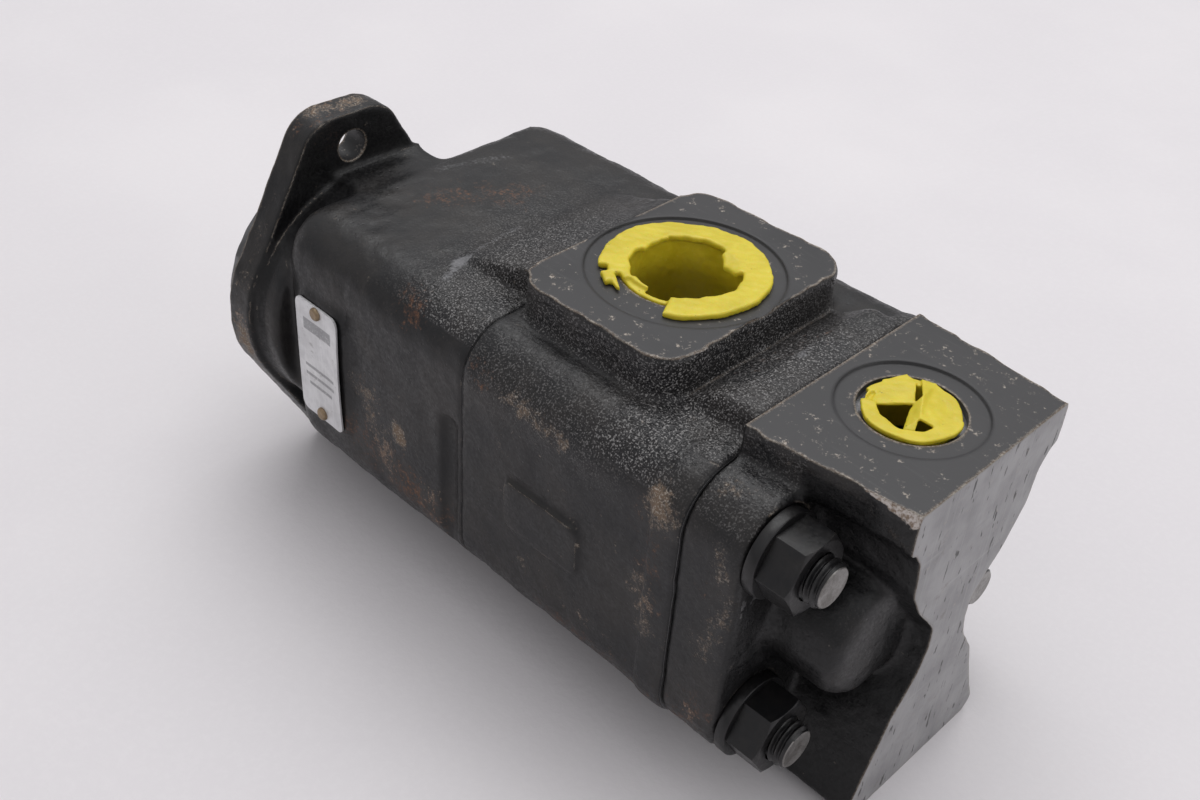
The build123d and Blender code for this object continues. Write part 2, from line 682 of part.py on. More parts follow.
# Two driven gears, each turning on its own journals
for name, chamber_x in (("front_driven_gear", FRONT_CHAMBER_X), ("rear_driven_gear", REAR_CHAMBER_X)):
    gear_x = chamber_x + BLOCK_WIDTH
    with BuildPart() as driven_gear:
        round_length(chamber_x + JOURNAL_GAP, gear_x + SIDE_CLEARANCE, JOURNAL_R, DRIVEN_Y)
        toothed_length(gear_x + SIDE_CLEARANCE, gear_x + GEAR_WIDTH - SIDE_CLEARANCE, DRIVEN_Y, MESH_TURN)
        round_length(
            gear_x + GEAR_WIDTH - SIDE_CLEARANCE, chamber_x + CHAMBER_DEPTH - JOURNAL_GAP, JOURNAL_R, DRIVEN_Y
        )
    driven_gear.part.label = name
    export_step(driven_gear.part, f"parts/{name}.step")

# Splined sleeve that drives the rear section
with BuildPart() as spline_coupling:
    with BuildSketch(station(JOINT_1_X + COUPLING_END_GAP)):
        with Locations((DRIVE_Y, 0)):
            Circle(COUPLING_R)
        with BuildSketch(Plane.XY, mode=Mode.PRIVATE) as bore:
            with BuildLine():
                spline_teeth(COUPLING_CLEARANCE)
            make_face()
        add(bore.sketch, mode=Mode.SUBTRACT)
    extrude(amount=REAR_CHAMBER_X - JOINT_1_X - 2 * COUPLING_END_GAP)
spline_coupling.part.label = "spline_coupling"
export_step(spline_coupling.part, "parts/spline_coupling.step")

# ---- bearing blocks, bushes and block seals ------------------------------------------------------
# name, station of the block's outer face, direction from that face towards the gears
BLOCKS = [
    ("front_section_front", FRONT_CHAMBER_X, 1),
    ("front_section_rear", JOINT_1_X, -1),
    ("rear_section_front", REAR_CHAMBER_X, 1),
    ("rear_section_rear", JOINT_2_X, -1),
]


def block_seal_profile(plane):
    """The 3-shaped seal in a block's outer face, round the pressure side, which is underneath."""
    with BuildSketch(plane, mode=Mode.PRIVATE) as three:
        twin_circles(CHAMBER_R - BLOCK_SEAL_INSET)
        with Locations((DRIVE_Y, 0), (DRIVEN_Y, 0)):
            Circle(CHAMBER_R - BLOCK_SEAL_INSET - BLOCK_SEAL_WIDTH, mode=Mode.SUBTRACT)
        with Locations((MID_Y, CHAMBER_R)):
            Rectangle(4 * CHAMBER_R, 2 * CHAMBER_R, mode=Mode.SUBTRACT)
    return three.sketch


for block, outer_x, inward in BLOCKS:
    inner_x = outer_x + inward * BLOCK_WIDTH
    low_x = min(outer_x, inner_x)
    seal_plane = station(outer_x if inward > 0 else outer_x - BLOCK_SEAL_DEPTH)
    with BuildPart() as bearing_block:
        with BuildSketch(station(low_x)):
            twin_circles(CHAMBER_R - BLOCK_CLEARANCE)
        extrude(amount=BLOCK_WIDTH)
        with BuildSketch(station(low_x)):
            twin_circles(BUSH_R)
        extrude(amount=BLOCK_WIDTH, mode=Mode.SUBTRACT)
        extrude(block_seal_profile(seal_plane), amount=BLOCK_SEAL_DEPTH, mode=Mode.SUBTRACT)
    bearing_block.part.label = f"{block}_bearing_block"
    export_step(bearing_block.part, f"parts/{block}_bearing_block.step")

    with BuildPart() as block_seal:
        extrude(block_seal_profile(seal_plane), amount=BLOCK_SEAL_DEPTH)
    block_seal.part.label = f"{block}_block_seal"
    export_step(block_seal.part, f"parts/{block}_block_seal.step")

    for shaft, centre_y in (("drive", DRIVE_Y), ("driven", DRIVEN_Y)):
        with BuildPart() as bush:
            with BuildSketch(station(low_x + BUSH_SHORT)):
                with Locations((centre_y, 0)):
                    Circle(BUSH_R)
                    Circle(BUSH_R - BUSH_WALL, mode=Mode.SUBTRACT)
            extrude(amount=BLOCK_WIDTH - 2 * BUSH_SHORT)
        bush.part.label = f"{block}_{shaft}_bush"
        export_step(bush.part, f"parts/{block}_{shaft}_bush.step")

# ---- shaft seal and its ring ---------------------------------------------------------------------
with BuildPart() as shaft_seal:
    with BuildSketch(station(SEAL_X)):
        Circle(SEAL_POCKET_R)
        Circle(SEAL_POCKET_R - SEAL_WEB, mode=Mode.SUBTRACT)
    extrude(amount=SEAL_WIDTH)
    with BuildSketch(station(SEAL_X)):
        Circle(SEAL_POCKET_R - SEAL_WEB)
        Circle(SEAL_LIP_R, mode=Mode.SUBTRACT)
    extrude(amount=SEAL_WEB)
    with BuildSketch(station(SEAL_X)):
        Circle(SEAL_LIP_R + SEAL_WEB)
        Circle(SEAL_LIP_R, mode=Mode.SUBTRACT)
    extrude(amount=SEAL_WIDTH - SEAL_LIP_SHORT)
shaft_seal.part.label = "shaft_seal"
export_step(shaft_seal.part, "parts/shaft_seal.step")

with BuildPart() as seal_spring:
    with BuildSketch(Plane.XZ):
        with Locations(
            (SEAL_X + SEAL_WIDTH - SPRING_INSET, SEAL_LIP_R + SEAL_WEB + SPRING_R + SPRING_CLEARANCE)
        ):
            Circle(SPRING_R)
    revolve(axis=Axis.X)
seal_spring.part.label = "seal_spring"
export_step(seal_spring.part, "parts/seal_spring.step")

with BuildPart() as seal_retaining_ring:
    with BuildSketch(station(RING_X)):
        Circle(RING_GROOVE_R - RING_PLAY)
        Circle(RING_INNER_R, mode=Mode.SUBTRACT)
        with Locations((0, -RING_INNER_R)):
            Rectangle(RING_GAP, RING_GAP, mode=Mode.SUBTRACT)
        with Locations(*[(side * RING_EYE_OFFSET, RING_EYE_RISE - RING_INNER_R) for side in (-1, 1)]):
            Circle(RING_EYE_R)
            Circle(RING_EYE_HOLE_R, mode=Mode.SUBTRACT)
    extrude(amount=RING_WIDTH - RING_PLAY)
seal_retaining_ring.part.label = "seal_retaining_ring"
export_step(seal_retaining_ring.part, "parts/seal_retaining_ring.step")

# ---- section seals and dowels at the two joints -----------------------------------------------------
for section, joint_x in (("front", JOINT_1_X), ("rear", JOINT_2_X)):
    with BuildPart() as section_seal:
        extrude(section_seal_ring(joint_x), amount=SEAL_GROOVE_DEPTH)
    section_seal.part.label = f"{section}_section_seal"
    export_step(section_seal.part, f"parts/{section}_section_seal.step")

    with BuildPart() as dowel_pins:
        with BuildSketch(station(joint_x - DOWEL_LENGTH / 2)):
            with Locations(*DOWEL_PLACES):
                Circle(DOWEL_R)
        extrude(amount=DOWEL_LENGTH)
        ends = dowel_pins.edges().filter_by(GeomType.CIRCLE)
        chamfer(ends, length=DOWEL_CHAMFER)
    dowel_pins.part.label = f"{section}_dowel_pins"
    export_step(dowel_pins.part, f"parts/{section}_dowel_pins.step")

# ---- tie studs, washers and nuts ---------------------------------------------------------------------
with BuildPart() as tie_studs:
    with BuildSketch(station(STUD_FRONT_X)):
        with Locations(*STUD_PLACES):
            Circle(STUD_R)
    extrude(amount=STUD_REAR_X - STUD_FRONT_X)
    chamfer(tie_studs.edges().group_by(Axis.X)[-1], length=STUD_CHAMFER)
tie_studs.part.label = "tie_studs"
export_step(tie_studs.part, "parts/tie_studs.step")

with BuildPart() as stud_washers:
    with BuildSketch(station(COVER_PLATE_X)):
        with Locations(*STUD_PLACES):
            Circle(WASHER_R)
            Circle(STUD_R + WASHER_CLEARANCE, mode=Mode.SUBTRACT)
    extrude(amount=WASHER_THICKNESS)
stud_washers.part.label = "stud_washers"
export_step(stud_washers.part, "parts/stud_washers.step")

with BuildPart() as stud_nuts:
    for place in STUD_PLACES:
        with BuildSketch(station(NUT_X)):
            with Locations(place):
                RegularPolygon(NUT_CORNER_R, 6)
        extrude(amount=NUT_HEIGHT)
    for place_y, place_z in STUD_PLACES:
        with BuildSketch(Plane.XZ.offset(-place_y)):
            with BuildLine():
                Polyline(
                    (NUT_X + NUT_HEIGHT, place_z + NUT_ACROSS_FLATS / 2),
                    (NUT_X + NUT_HEIGHT, place_z + NUT_CORNER_R + NUT_CHAMFER),
                    (NUT_X + NUT_HEIGHT - NUT_CHAMFER, place_z + NUT_CORNER_R + NUT_CHAMFER),
                    close=True,
                )
            make_face()
        revolve(axis=Axis((0, place_y, place_z), (1, 0, 0)), mode=Mode.SUBTRACT)
    with BuildSketch(station(NUT_X)):
        with Locations(*STUD_PLACES):
            Circle(STUD_R + THREAD_CLEARANCE)
    extrude(amount=NUT_HEIGHT, mode=Mode.SUBTRACT)
stud_nuts.part.label = "stud_nuts"
export_step(stud_nuts.part, "parts/stud_nuts.step")

# ---- port plugs -----------------------------------------------------------------------------------
with BuildPart() as inlet_plug:
    with BuildSketch(Plane.XY.offset(INLET_TOP_Z - SPOTFACE_DEPTH)):
        with Locations((INLET_X, MID_Y)):
            Circle(PLUG_FLANGE_R)
            Circle(PLUG_HOLE_R, mode=Mode.SUBTRACT)
    extrude(amount=PLUG_FLANGE_THICKNESS)
    with BuildSketch(Plane.XY.offset(INLET_TOP_Z - SPOTFACE_DEPTH)):
        with Locations((INLET_X, MID_Y)):
            Circle(PLUG_SKIRT_R)
            Circle(PLUG_SKIRT_R - PLUG_WALL, mode=Mode.SUBTRACT)
    extrude(amount=-PLUG_DEPTH)
inlet_plug.part.label = "inlet_plug"
export_step(inlet_plug.part, "parts/inlet_plug.step")

with BuildPart() as outlet_plug:
    with BuildSketch(Plane.XY.offset(OUTLET_TOP_Z - 2 * SPOTFACE_DEPTH)):
        with Locations((OUTLET_X, MID_Y)):
            Circle(CAP_RIM_R)
            Circle(CAP_HOLE_R, mode=Mode.SUBTRACT)
    extrude(amount=CAP_RIM_THICKNESS)
    with BuildSketch(Plane.XY.offset(OUTLET_TOP_Z - 2 * SPOTFACE_DEPTH)):
        with Locations((OUTLET_X, MID_Y)):
            Circle(CAP_R)
            Circle(CAP_R - PLUG_WALL, mode=Mode.SUBTRACT)
    extrude(amount=-CAP_DEPTH)
outlet_plug.part.label = "outlet_plug"
export_step(outlet_plug.part, "parts/outlet_plug.step")

# ---- nameplate and its rivets -------------------------------------------------------------------------
with BuildPart() as nameplate:
    with BuildSketch(Plane.XZ.offset(-PLATE_Y)):
        with Locations((PLATE_X, PLATE_Z)):
            RectangleRounded(PLATE_WIDTH, PLATE_HEIGHT, PLATE_CORNER_R)
        with Locations(*RIVET_PLACES):
            Circle(RIVET_R, mode=Mode.SUBTRACT)
    extrude(amount=PLATE_THICKNESS)
nameplate.part.label = "nameplate"
export_step(nameplate.part, "parts/nameplate.step")

with BuildPart() as nameplate_rivets:
    with BuildSketch(Plane.XZ.offset(-PLATE_Y + PLATE_THICKNESS)):
        with Locations(*RIVET_PLACES):
            Circle(RIVET_HEAD_R)
    extrude(amount=RIVET_HEAD_HEIGHT)
    heads = nameplate_rivets.edges().group_by(Axis.Y)[0]
    fillet(heads, radius=RIVET_HEAD_ROUND)
    with BuildSketch(Plane.XZ.offset(-PLATE_Y + PLATE_THICKNESS)):
        with Locations(*RIVET_PLACES):
            Circle(RIVET_R - RIVET_CLEARANCE)
    extrude(amount=-(RIVET_DEPTH - RIVET_END_GAP))
nameplate_rivets.part.label = "nameplate_rivets"
export_step(nameplate_rivets.part, "parts/nameplate_rivets.step")
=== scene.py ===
"""Looks of the tandem gear pump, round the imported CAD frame. Shapes are worked in millimetres."""

from math import cos, pi, radians, sin

import bmesh
import bpy
import numpy as np
from mathutils import Matrix, Vector


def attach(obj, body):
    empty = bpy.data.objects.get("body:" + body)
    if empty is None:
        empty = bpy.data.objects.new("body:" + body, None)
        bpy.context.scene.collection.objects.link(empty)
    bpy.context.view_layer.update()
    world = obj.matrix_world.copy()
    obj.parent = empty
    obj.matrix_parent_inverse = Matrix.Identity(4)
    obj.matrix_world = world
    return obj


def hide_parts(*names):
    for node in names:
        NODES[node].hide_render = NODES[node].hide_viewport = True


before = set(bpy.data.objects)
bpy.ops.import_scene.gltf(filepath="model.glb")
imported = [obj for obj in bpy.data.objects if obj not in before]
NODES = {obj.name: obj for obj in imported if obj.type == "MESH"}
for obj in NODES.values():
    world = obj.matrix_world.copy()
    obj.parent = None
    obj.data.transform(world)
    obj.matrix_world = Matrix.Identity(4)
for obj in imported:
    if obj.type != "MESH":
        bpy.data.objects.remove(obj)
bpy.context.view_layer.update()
MM = 0.001

# ---- stations and sizes of the design, millimetres ----
JOINT_1_X, JOINT_2_X, PLATE_REAR_X, REAR_X = 108.6, 194.0, 213.5, 244.5
MID_Y, DRIVEN_Y = 22.0, 44.0
CASE_HALF_Y, CASE_HALF_Z, CASE_CORNER = 59.0, 45.7, 16.0
PILOT_X, PILOT_R, PILOT_CHAMFER = -6.35, 41.275, 0.8
CHAMBER_R, CHAMBER_DEPTH = 25.45, 65.4
SHAFT_BORE_R, POCKET_R, POCKET_DEPTH = 11.6, 17.5, 12.0
GROOVE_X, GROOVE_R, GROOVE_WIDTH = -3.85, 18.6, 1.5
BOLT_HOLE_R, BOLT_Z = 5.55, 53.2
STUD_HOLE_R, STUD_OFFSET_Y, STUD_OFFSET_Z = 7.2, 45.7, 30.8
STUD_R, STUD_FRONT_X, STUD_REAR_X, STUD_BLIND_X = 7.0, 50.6, 232.4, 48.6
NUT_REAR_X, SPOT_R = 227.0, 13.8
DOWEL_HOLE_R, DOWEL_DEPTH = 3.52, 8.0
PASSAGE_WIDTH, PASSAGE_LOW, PASSAGE_HIGH = 20.0, 10.5, 36.0
INLET_X, INLET_Z, INLET_BORE_R, INLET_SPOT_R, INLET_FLOOR_Z = 138.5, 58.5, 19.5, 29.5, 21.0
OUTLET_X, OUTLET_Z, OUTLET_BORE_R, OUTLET_SPOT_R, OUTLET_FLOOR_Z = 218.1, 55.2, 12.4, 20.5, 18.0
OUTLET_MOUTH_R, OUTLET_MOUTH_DEPTH, SPOT_DEPTH = 14.6, 3.2, 0.8
COUPLING_BORE_R = 15.3
PLATE_X, PLATE_Z, PLATE_Y = 41.1, -1.0, -38.5
PLATE_WIDTH, PLATE_HEIGHT, RIVET_SPACING, RIVET_HOLE_R = 22.0, 45.0, 40.0, 1.4
RIVETS = [(PLATE_X, PLATE_Z + s * RIVET_SPACING / 2) for s in (1, -1)]
BOLT_HOLES = [(0.0, BOLT_Z), (0.0, -BOLT_Z)]
GALLERY_HALF_X, GALLERY_HALF_Y, GALLERY_CORNER = 10.0, 7.5, 5.0
THREAD_X = NUT_REAR_X - 14.0
STUDS = [(MID_Y + s * STUD_OFFSET_Y, t * STUD_OFFSET_Z) for s in (-1, 1) for t in (1, -1)]
DOWELS = [(-5.0, 38.0), (DRIVEN_Y + 5.0, -38.0)]

# ---- how a casting is remade: the cutters' reach, how far planes stand proud, the grid ----
FAR = 30.0
PUSH = 2.0
VOXEL = 0.9


# ---- mesh helpers ----
def raw_mesh(name, verts, faces):
    data = bpy.data.meshes.new(name)
    data.from_pydata([tuple(v) for v in verts], [], faces)
    return data


def mesh_of(name, verts, faces):
    """A closed mesh with its normals outward."""
    data = raw_mesh(name, verts, faces)
    bm = bmesh.new()
    bm.from_mesh(data)
    bmesh.ops.recalc_face_normals(bm, faces=bm.faces)
    bm.to_mesh(data)
    bm.free()
    return data


def thing(name, data):
    obj = bpy.data.objects.new(name, data)
    bpy.context.scene.collection.objects.link(obj)
    return obj


def circle(radius, cx=0.0, cy=0.0, count=96):
    turns = [2 * pi * i / count for i in range(count)]
    return [(cx + radius * cos(a), cy + radius * sin(a)) for a in turns]


def rounded(half_w, half_h, corner, cx=0.0, cy=0.0, steps=8):
    """A rectangle's outline with round corners."""
    points = []
    for quarter, (sx, sy) in enumerate(((1, 1), (-1, 1), (-1, -1), (1, -1))):
        corner_x, corner_y = cx + sx * (half_w - corner), cy + sy * (half_h - corner)
        for step in range(steps + 1):
            a = pi / 2 * (quarter + step / steps)
            points.append((corner_x + corner * cos(a), corner_y + corner * sin(a)))
    return points


def solid(p, axis, low):
    """A 2-D point placed across an axis: x gives (y, z), y gives (x, z), z gives (x, y)."""
    return {"x": (low, p[0], p[1]), "y": (p[0], low, p[1]), "z": (p[0], p[1], low)}[axis]


def prism(outline, axis, low, high):
    n = len(outline)
    verts = [solid(p, axis, low) for p in outline] + [solid(p, axis, high) for p in outline]
    faces = [tuple(range(n))[::-1], tuple(range(n, 2 * n))]
    faces += [(i, (i + 1) % n, (i + 1) % n + n, i + n) for i in range(n)]
    return verts, faces


def lathe(profile, count=128, cy=0.0, cz=0.0):
    """A closed (x, radius) profile turned about an axis along x."""
    verts, faces, rows = [], [], []
    for x, r in profile:
        if r < 1e-6:
            rows.append([len(verts)] * count)
            verts.append((x, cy, cz))
        else:
            rows.append(list(range(len(verts), len(verts) + count)))
            verts += [(x, y, z) for y, z in circle(r, cy, cz, count)]
    for a, b in zip(rows, rows[1:] + rows[:1]):
        for i in range(count):
            j = (i + 1) % count
            face = list(dict.fromkeys((a[i], a[j], b[j], b[i])))
            if len(face) > 2:
                faces.append(tuple(face))
    return verts, faces


def block(low, high):
    """A box between two corners."""
    (x0, y0, z0), (x1, y1, z1) = low, high
    return prism([(y0, z0), (y1, z0), (y1, z1), (y0, z1)], "x", x0, x1)


def across(low, high):
    """A cutter for everything between two stations along the shaft."""
    return block((low, -150, -150), (high, 200, 150))


def above(from_x, z):
    """A cutter for everything above a milled face, behind a station."""
    return block((from_x, -150, z), (300, 200, z + FAR))


def joined(*pieces):
    verts, faces = [], []
    for piece_verts, piece_faces in pieces:
        start = len(verts)
        verts += list(piece_verts)
        faces += [tuple(i + start for i in f) for f in piece_faces]
    return verts, faces


def evaluated(obj):
    """The object's mesh after its modifiers, which are then gone with it."""
    graph = bpy.context.evaluated_depsgraph_get()
    graph.update()
    data = bpy.data.meshes.new_from_object(obj.evaluated_get(graph))
    old = obj.data
    bpy.data.objects.remove(obj)
    if old.users == 0:
        bpy.data.meshes.remove(old)
    return data


def coords(data):
    co = np.zeros(len(data.vertices) * 3)
    data.vertices.foreach_get("co", co)
    return co.reshape(-1, 3)


def set_coords(data, co):
    data.vertices.foreach_set("co", np.asarray(co, np.float64).ravel())
    data.update()


def normals(data):
    n = np.zeros(len(data.vertices) * 3)
    data.vertices.foreach_get("normal", n)
    return n.reshape(-1, 3)


def voxelled(name, data, size):
    obj = thing(name, data)
    remesh = obj.modifiers.new("voxels", "REMESH")
    remesh.mode = "VOXEL"
    remesh.voxel_size = size
    return evaluated(obj)


def relax(co, data, passes):
    """Laplacian smoothing, with a number of passes for each vertex."""
    ends = np.zeros(len(data.edges) * 2, np.int64)
    data.edges.foreach_get("vertices", ends)
    a, b = ends.reshape(-1, 2).T
    n = len(co)
    degree = np.maximum(np.bincount(a, minlength=n) + np.bincount(b, minlength=n), 1)
    for step in range(int(passes.max())):
        mean = np.stack(
            [(np.bincount(a, co[b, k], n) + np.bincount(b, co[a, k], n)) / degree for k in range(3)], axis=1
        )
        moving = passes > step
        co[moving] += 0.5 * (mean - co)[moving]
    return co


def field(points, size, seed, waves=28):
    """A smooth random field of unit spread, with features of about this size."""
    rng = np.random.default_rng(seed)
    d = rng.normal(size=(waves, 3))
    d /= np.linalg.norm(d, axis=1)[:, None]
    k = 2 * pi / size * rng.uniform(0.6, 1.4, waves)
    phase = rng.uniform(0, 2 * pi, waves)
    return np.cos(points @ (d * k[:, None]).T + phase).sum(1) * (2 / waves) ** 0.5


def near(co, points, radius):
    """1 at a polyline through the points, falling off over the radius."""
    points = [np.array(p, float) for p in points]
    best = np.full(len(co), 1e9)
    for p, q in zip(points, points[1:] or points):
        d = q - p
        t = np.clip((co - p) @ d / max(d @ d, 1e-9), 0, 1)
        best = np.minimum(best, np.linalg.norm(co - p - t[:, None] * d, axis=1))
    return np.exp(-((best / radius) ** 2))


def spots(co, rows):
    """The sum of soft stains, each given as its strength, radius and the points it follows."""
    return sum(strength * near(co, points, radius) for strength, radius, points in rows)


def subtract(data, cutters):
    """The mesh with closed cutters taken out of it, one after another."""
    obj = thing("body_to_cut", data)
    tools = []
    for verts, faces in cutters:
        tools.append(thing("cutter", mesh_of("cutter", verts, faces)))
        tools[-1].hide_render = True
        mod = obj.modifiers.new("cut", "BOOLEAN")
        mod.operation, mod.solver, mod.object = "DIFFERENCE", "MANIFOLD", tools[-1]
    result = evaluated(obj)
    for tool in tools:
        old = tool.data
        bpy.data.objects.remove(tool)
        bpy.data.meshes.remove(old)
    return result


def cad_mesh(node):
    """A CAD node's mesh in millimetres, with its doubled corners merged."""
    data = NODES[node].data.copy()
    data.transform(Matrix.Scale(1 / MM, 4))
    bm = bmesh.new()
    bm.from_mesh(data)
    bmesh.ops.remove_doubles(bm, verts=bm.verts, dist=1e-4)
    bm.to_mesh(data)
    bm.free()
    return data


def cad_piece(node):
    data = cad_mesh(node)
    verts, faces = coords(data).tolist(), [tuple(p.vertices) for p in data.polygons]
    bpy.data.meshes.remove(data)
    return verts, faces


def rough_casting(node, planes, fillers):
    """The casting before machining: its holes filled and its machined planes standing proud."""
    verts, faces = cad_piece(node)
    co = np.array(verts)
    for k, value, push in planes:
        on = np.abs(co[:, k] - value) < 1e-3
        co[on, k] += push
    verts, faces = joined((co.tolist(), faces), *fillers)
    return voxelled(node, raw_mesh(node, verts, faces), VOXEL)


def machined_index(data, tests):
    """Gives each face the material of the first machined surface that it lies on, else 0."""
    n = len(data.polygons)
    centre, normal = np.zeros(n * 3), np.zeros(n * 3)
    data.polygons.foreach_get("center", centre)
    data.polygons.foreach_get("normal", normal)
    c, nv = centre.reshape(-1, 3), normal.reshape(-1, 3)
    index = np.zeros(n, np.int32)
    for material, test in reversed(tests):
        index[test(c, nv)] = material
    data.polygons.foreach_set("material_index", index)


def finish_mesh(name, data, body, replaced, materials, sharp=34.0):
    """Scales a millimetre mesh to metres and places it on its body."""
    data.transform(Matrix.Scale(MM, 4))
    data.name = name
    index = np.zeros(len(data.polygons), np.int32)
    data.polygons.foreach_get("material_index", index)
    data.materials.clear()
    for material in materials:
        data.materials.append(material)
    data.polygons.foreach_set("material_index", index)
    data.shade_smooth()
    data.set_sharp_from_angle(angle=radians(sharp))
    obj = thing(name, data)
    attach(obj, body)
    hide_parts(*replaced)
    return obj


def paint(data, **layers):
    """Writes what the paint of a casting reads: a value from 0 to 1 at each point."""
    for name, values in layers.items():
        layer = data.attributes.new(name, "FLOAT", "POINT")
        layer.data.foreach_set("value", np.clip(values, 0, 1).astype(np.float32))


# ---- material helpers ----
class Shader:
    """A principled material and short ways to add nodes to it."""

    def __init__(self, name):
        self.material = bpy.data.materials.new(name)
        self.material.use_nodes = True
        self.tree = self.material.node_tree
        self.tree.nodes.clear()
        self.out = self.tree.nodes.new("ShaderNodeOutputMaterial")
        self.bsdf = self.tree.nodes.new("ShaderNodeBsdfPrincipled")
        self.tree.links.new(self.bsdf.outputs[0], self.out.inputs["Surface"])
        self.place = self.tree.nodes.new("ShaderNodeTexCoord").outputs["Object"]

    def put(self, socket, value):
        if isinstance(value, bpy.types.NodeSocket):
            self.tree.links.new(value, socket)
        elif isinstance(value, tuple) and len(value) == 3 and socket.type == "RGBA":
            socket.default_value = (*value, 1.0)
        else:
            socket.default_value = value

    def node(self, kind, inputs=(), **settings):
        node = self.tree.nodes.new("ShaderNode" + kind)
        for key, value in settings.items():
            setattr(node, key, value)
        for key, value in dict(inputs).items():
            self.put(node.inputs[key], value)
        return node

    def set(self, **values):
        for key, value in values.items():
            self.put(self.bsdf.inputs[key.replace("_", " ")], value)

    def math(self, operation, a, b=0.0, clamp=False):
        return self.node("Math", {0: a, 1: b}, operation=operation, use_clamp=clamp).outputs[0]

    def plus(self, a, b):
        return self.math("ADD", a, b)

    def minus(self, a, b):
        return self.math("SUBTRACT", a, b)

    def times(self, a, b):
        return self.math("MULTIPLY", a, b)

    def apart(self, a, b):
        """The distance between two values."""
        return self.math("ABSOLUTE", self.minus(a, b))

    def wobble(self, value, share):
        """A noise value about its middle, times a share."""
        return self.times(self.minus(value, 0.5), share)

    def step(self, value, low, high, to_low=0.0, to_high=1.0):
        return self.node(
            "MapRange",
            {"Value": value, "From Min": low, "From Max": high, "To Min": to_low, "To Max": to_high},
            interpolation_type="SMOOTHSTEP",
        ).outputs[0]

    def mix(self, share, a, b):
        node = self.node("Mix", data_type="RGBA")
        self.put(node.inputs["Factor"], share)
        self.put(node.inputs[6], a)
        self.put(node.inputs[7], b)
        return node.outputs[2]

    def noise(self, size_mm, detail=3.0, roughness=0.55, place=None):
        inputs = {"Vector": place or self.place, "Scale": 1 / (size_mm * MM)}
        inputs.update(Detail=detail, Roughness=roughness)
        return self.node("TexNoise", inputs).outputs["Fac"]

    def cells(self, size_mm, feature="F1"):
        inputs = {"Vector": self.place, "Scale": 1 / (size_mm * MM)}
        return self.node("TexVoronoi", inputs, feature=feature).outputs[0]

    def stretched(self, scale, turn=(0.0, 0.0, 0.0)):
        return self.node("Mapping", {"Vector": self.place, "Scale": scale, "Rotation": turn}).outputs[0]

    def axis(self, which):
        return self.node("SeparateXYZ", {0: self.place}).outputs[which]

    def attribute(self, name):
        return self.node("Attribute", attribute_name=name).outputs["Fac"]

    def bump(self, height, distance_mm, strength=1.0, normal=None):
        inputs = {"Height": height, "Distance": distance_mm * MM, "Strength": strength}
        if normal:
            inputs["Normal"] = normal
        return self.node("Bump", inputs).outputs[0]

    def edges(self, radius_mm):
        """A rounded normal, and how much it differs from the real one, which is high along edges."""
        soft = self.node("Bevel", {"Radius": radius_mm * MM}, samples=6).outputs[0]
        true = self.node("NewGeometry").outputs["Normal"]
        dot = self.node("VectorMath", {0: soft, 1: true}, operation="DOT_PRODUCT").outputs["Value"]
        return soft, self.math("SUBTRACT", 1.0, dot)


TAN, WHITE_RUST, RUST = (0.23, 0.165, 0.115), (0.46, 0.41, 0.35), (0.13, 0.055, 0.028)
# Near black for the dark joint lines, and for painted shade laid on the castings.
GREY, JOINT_AND_SHADE_BLACK = (0.20, 0.20, 0.21), (0.0025, 0.0025, 0.003)


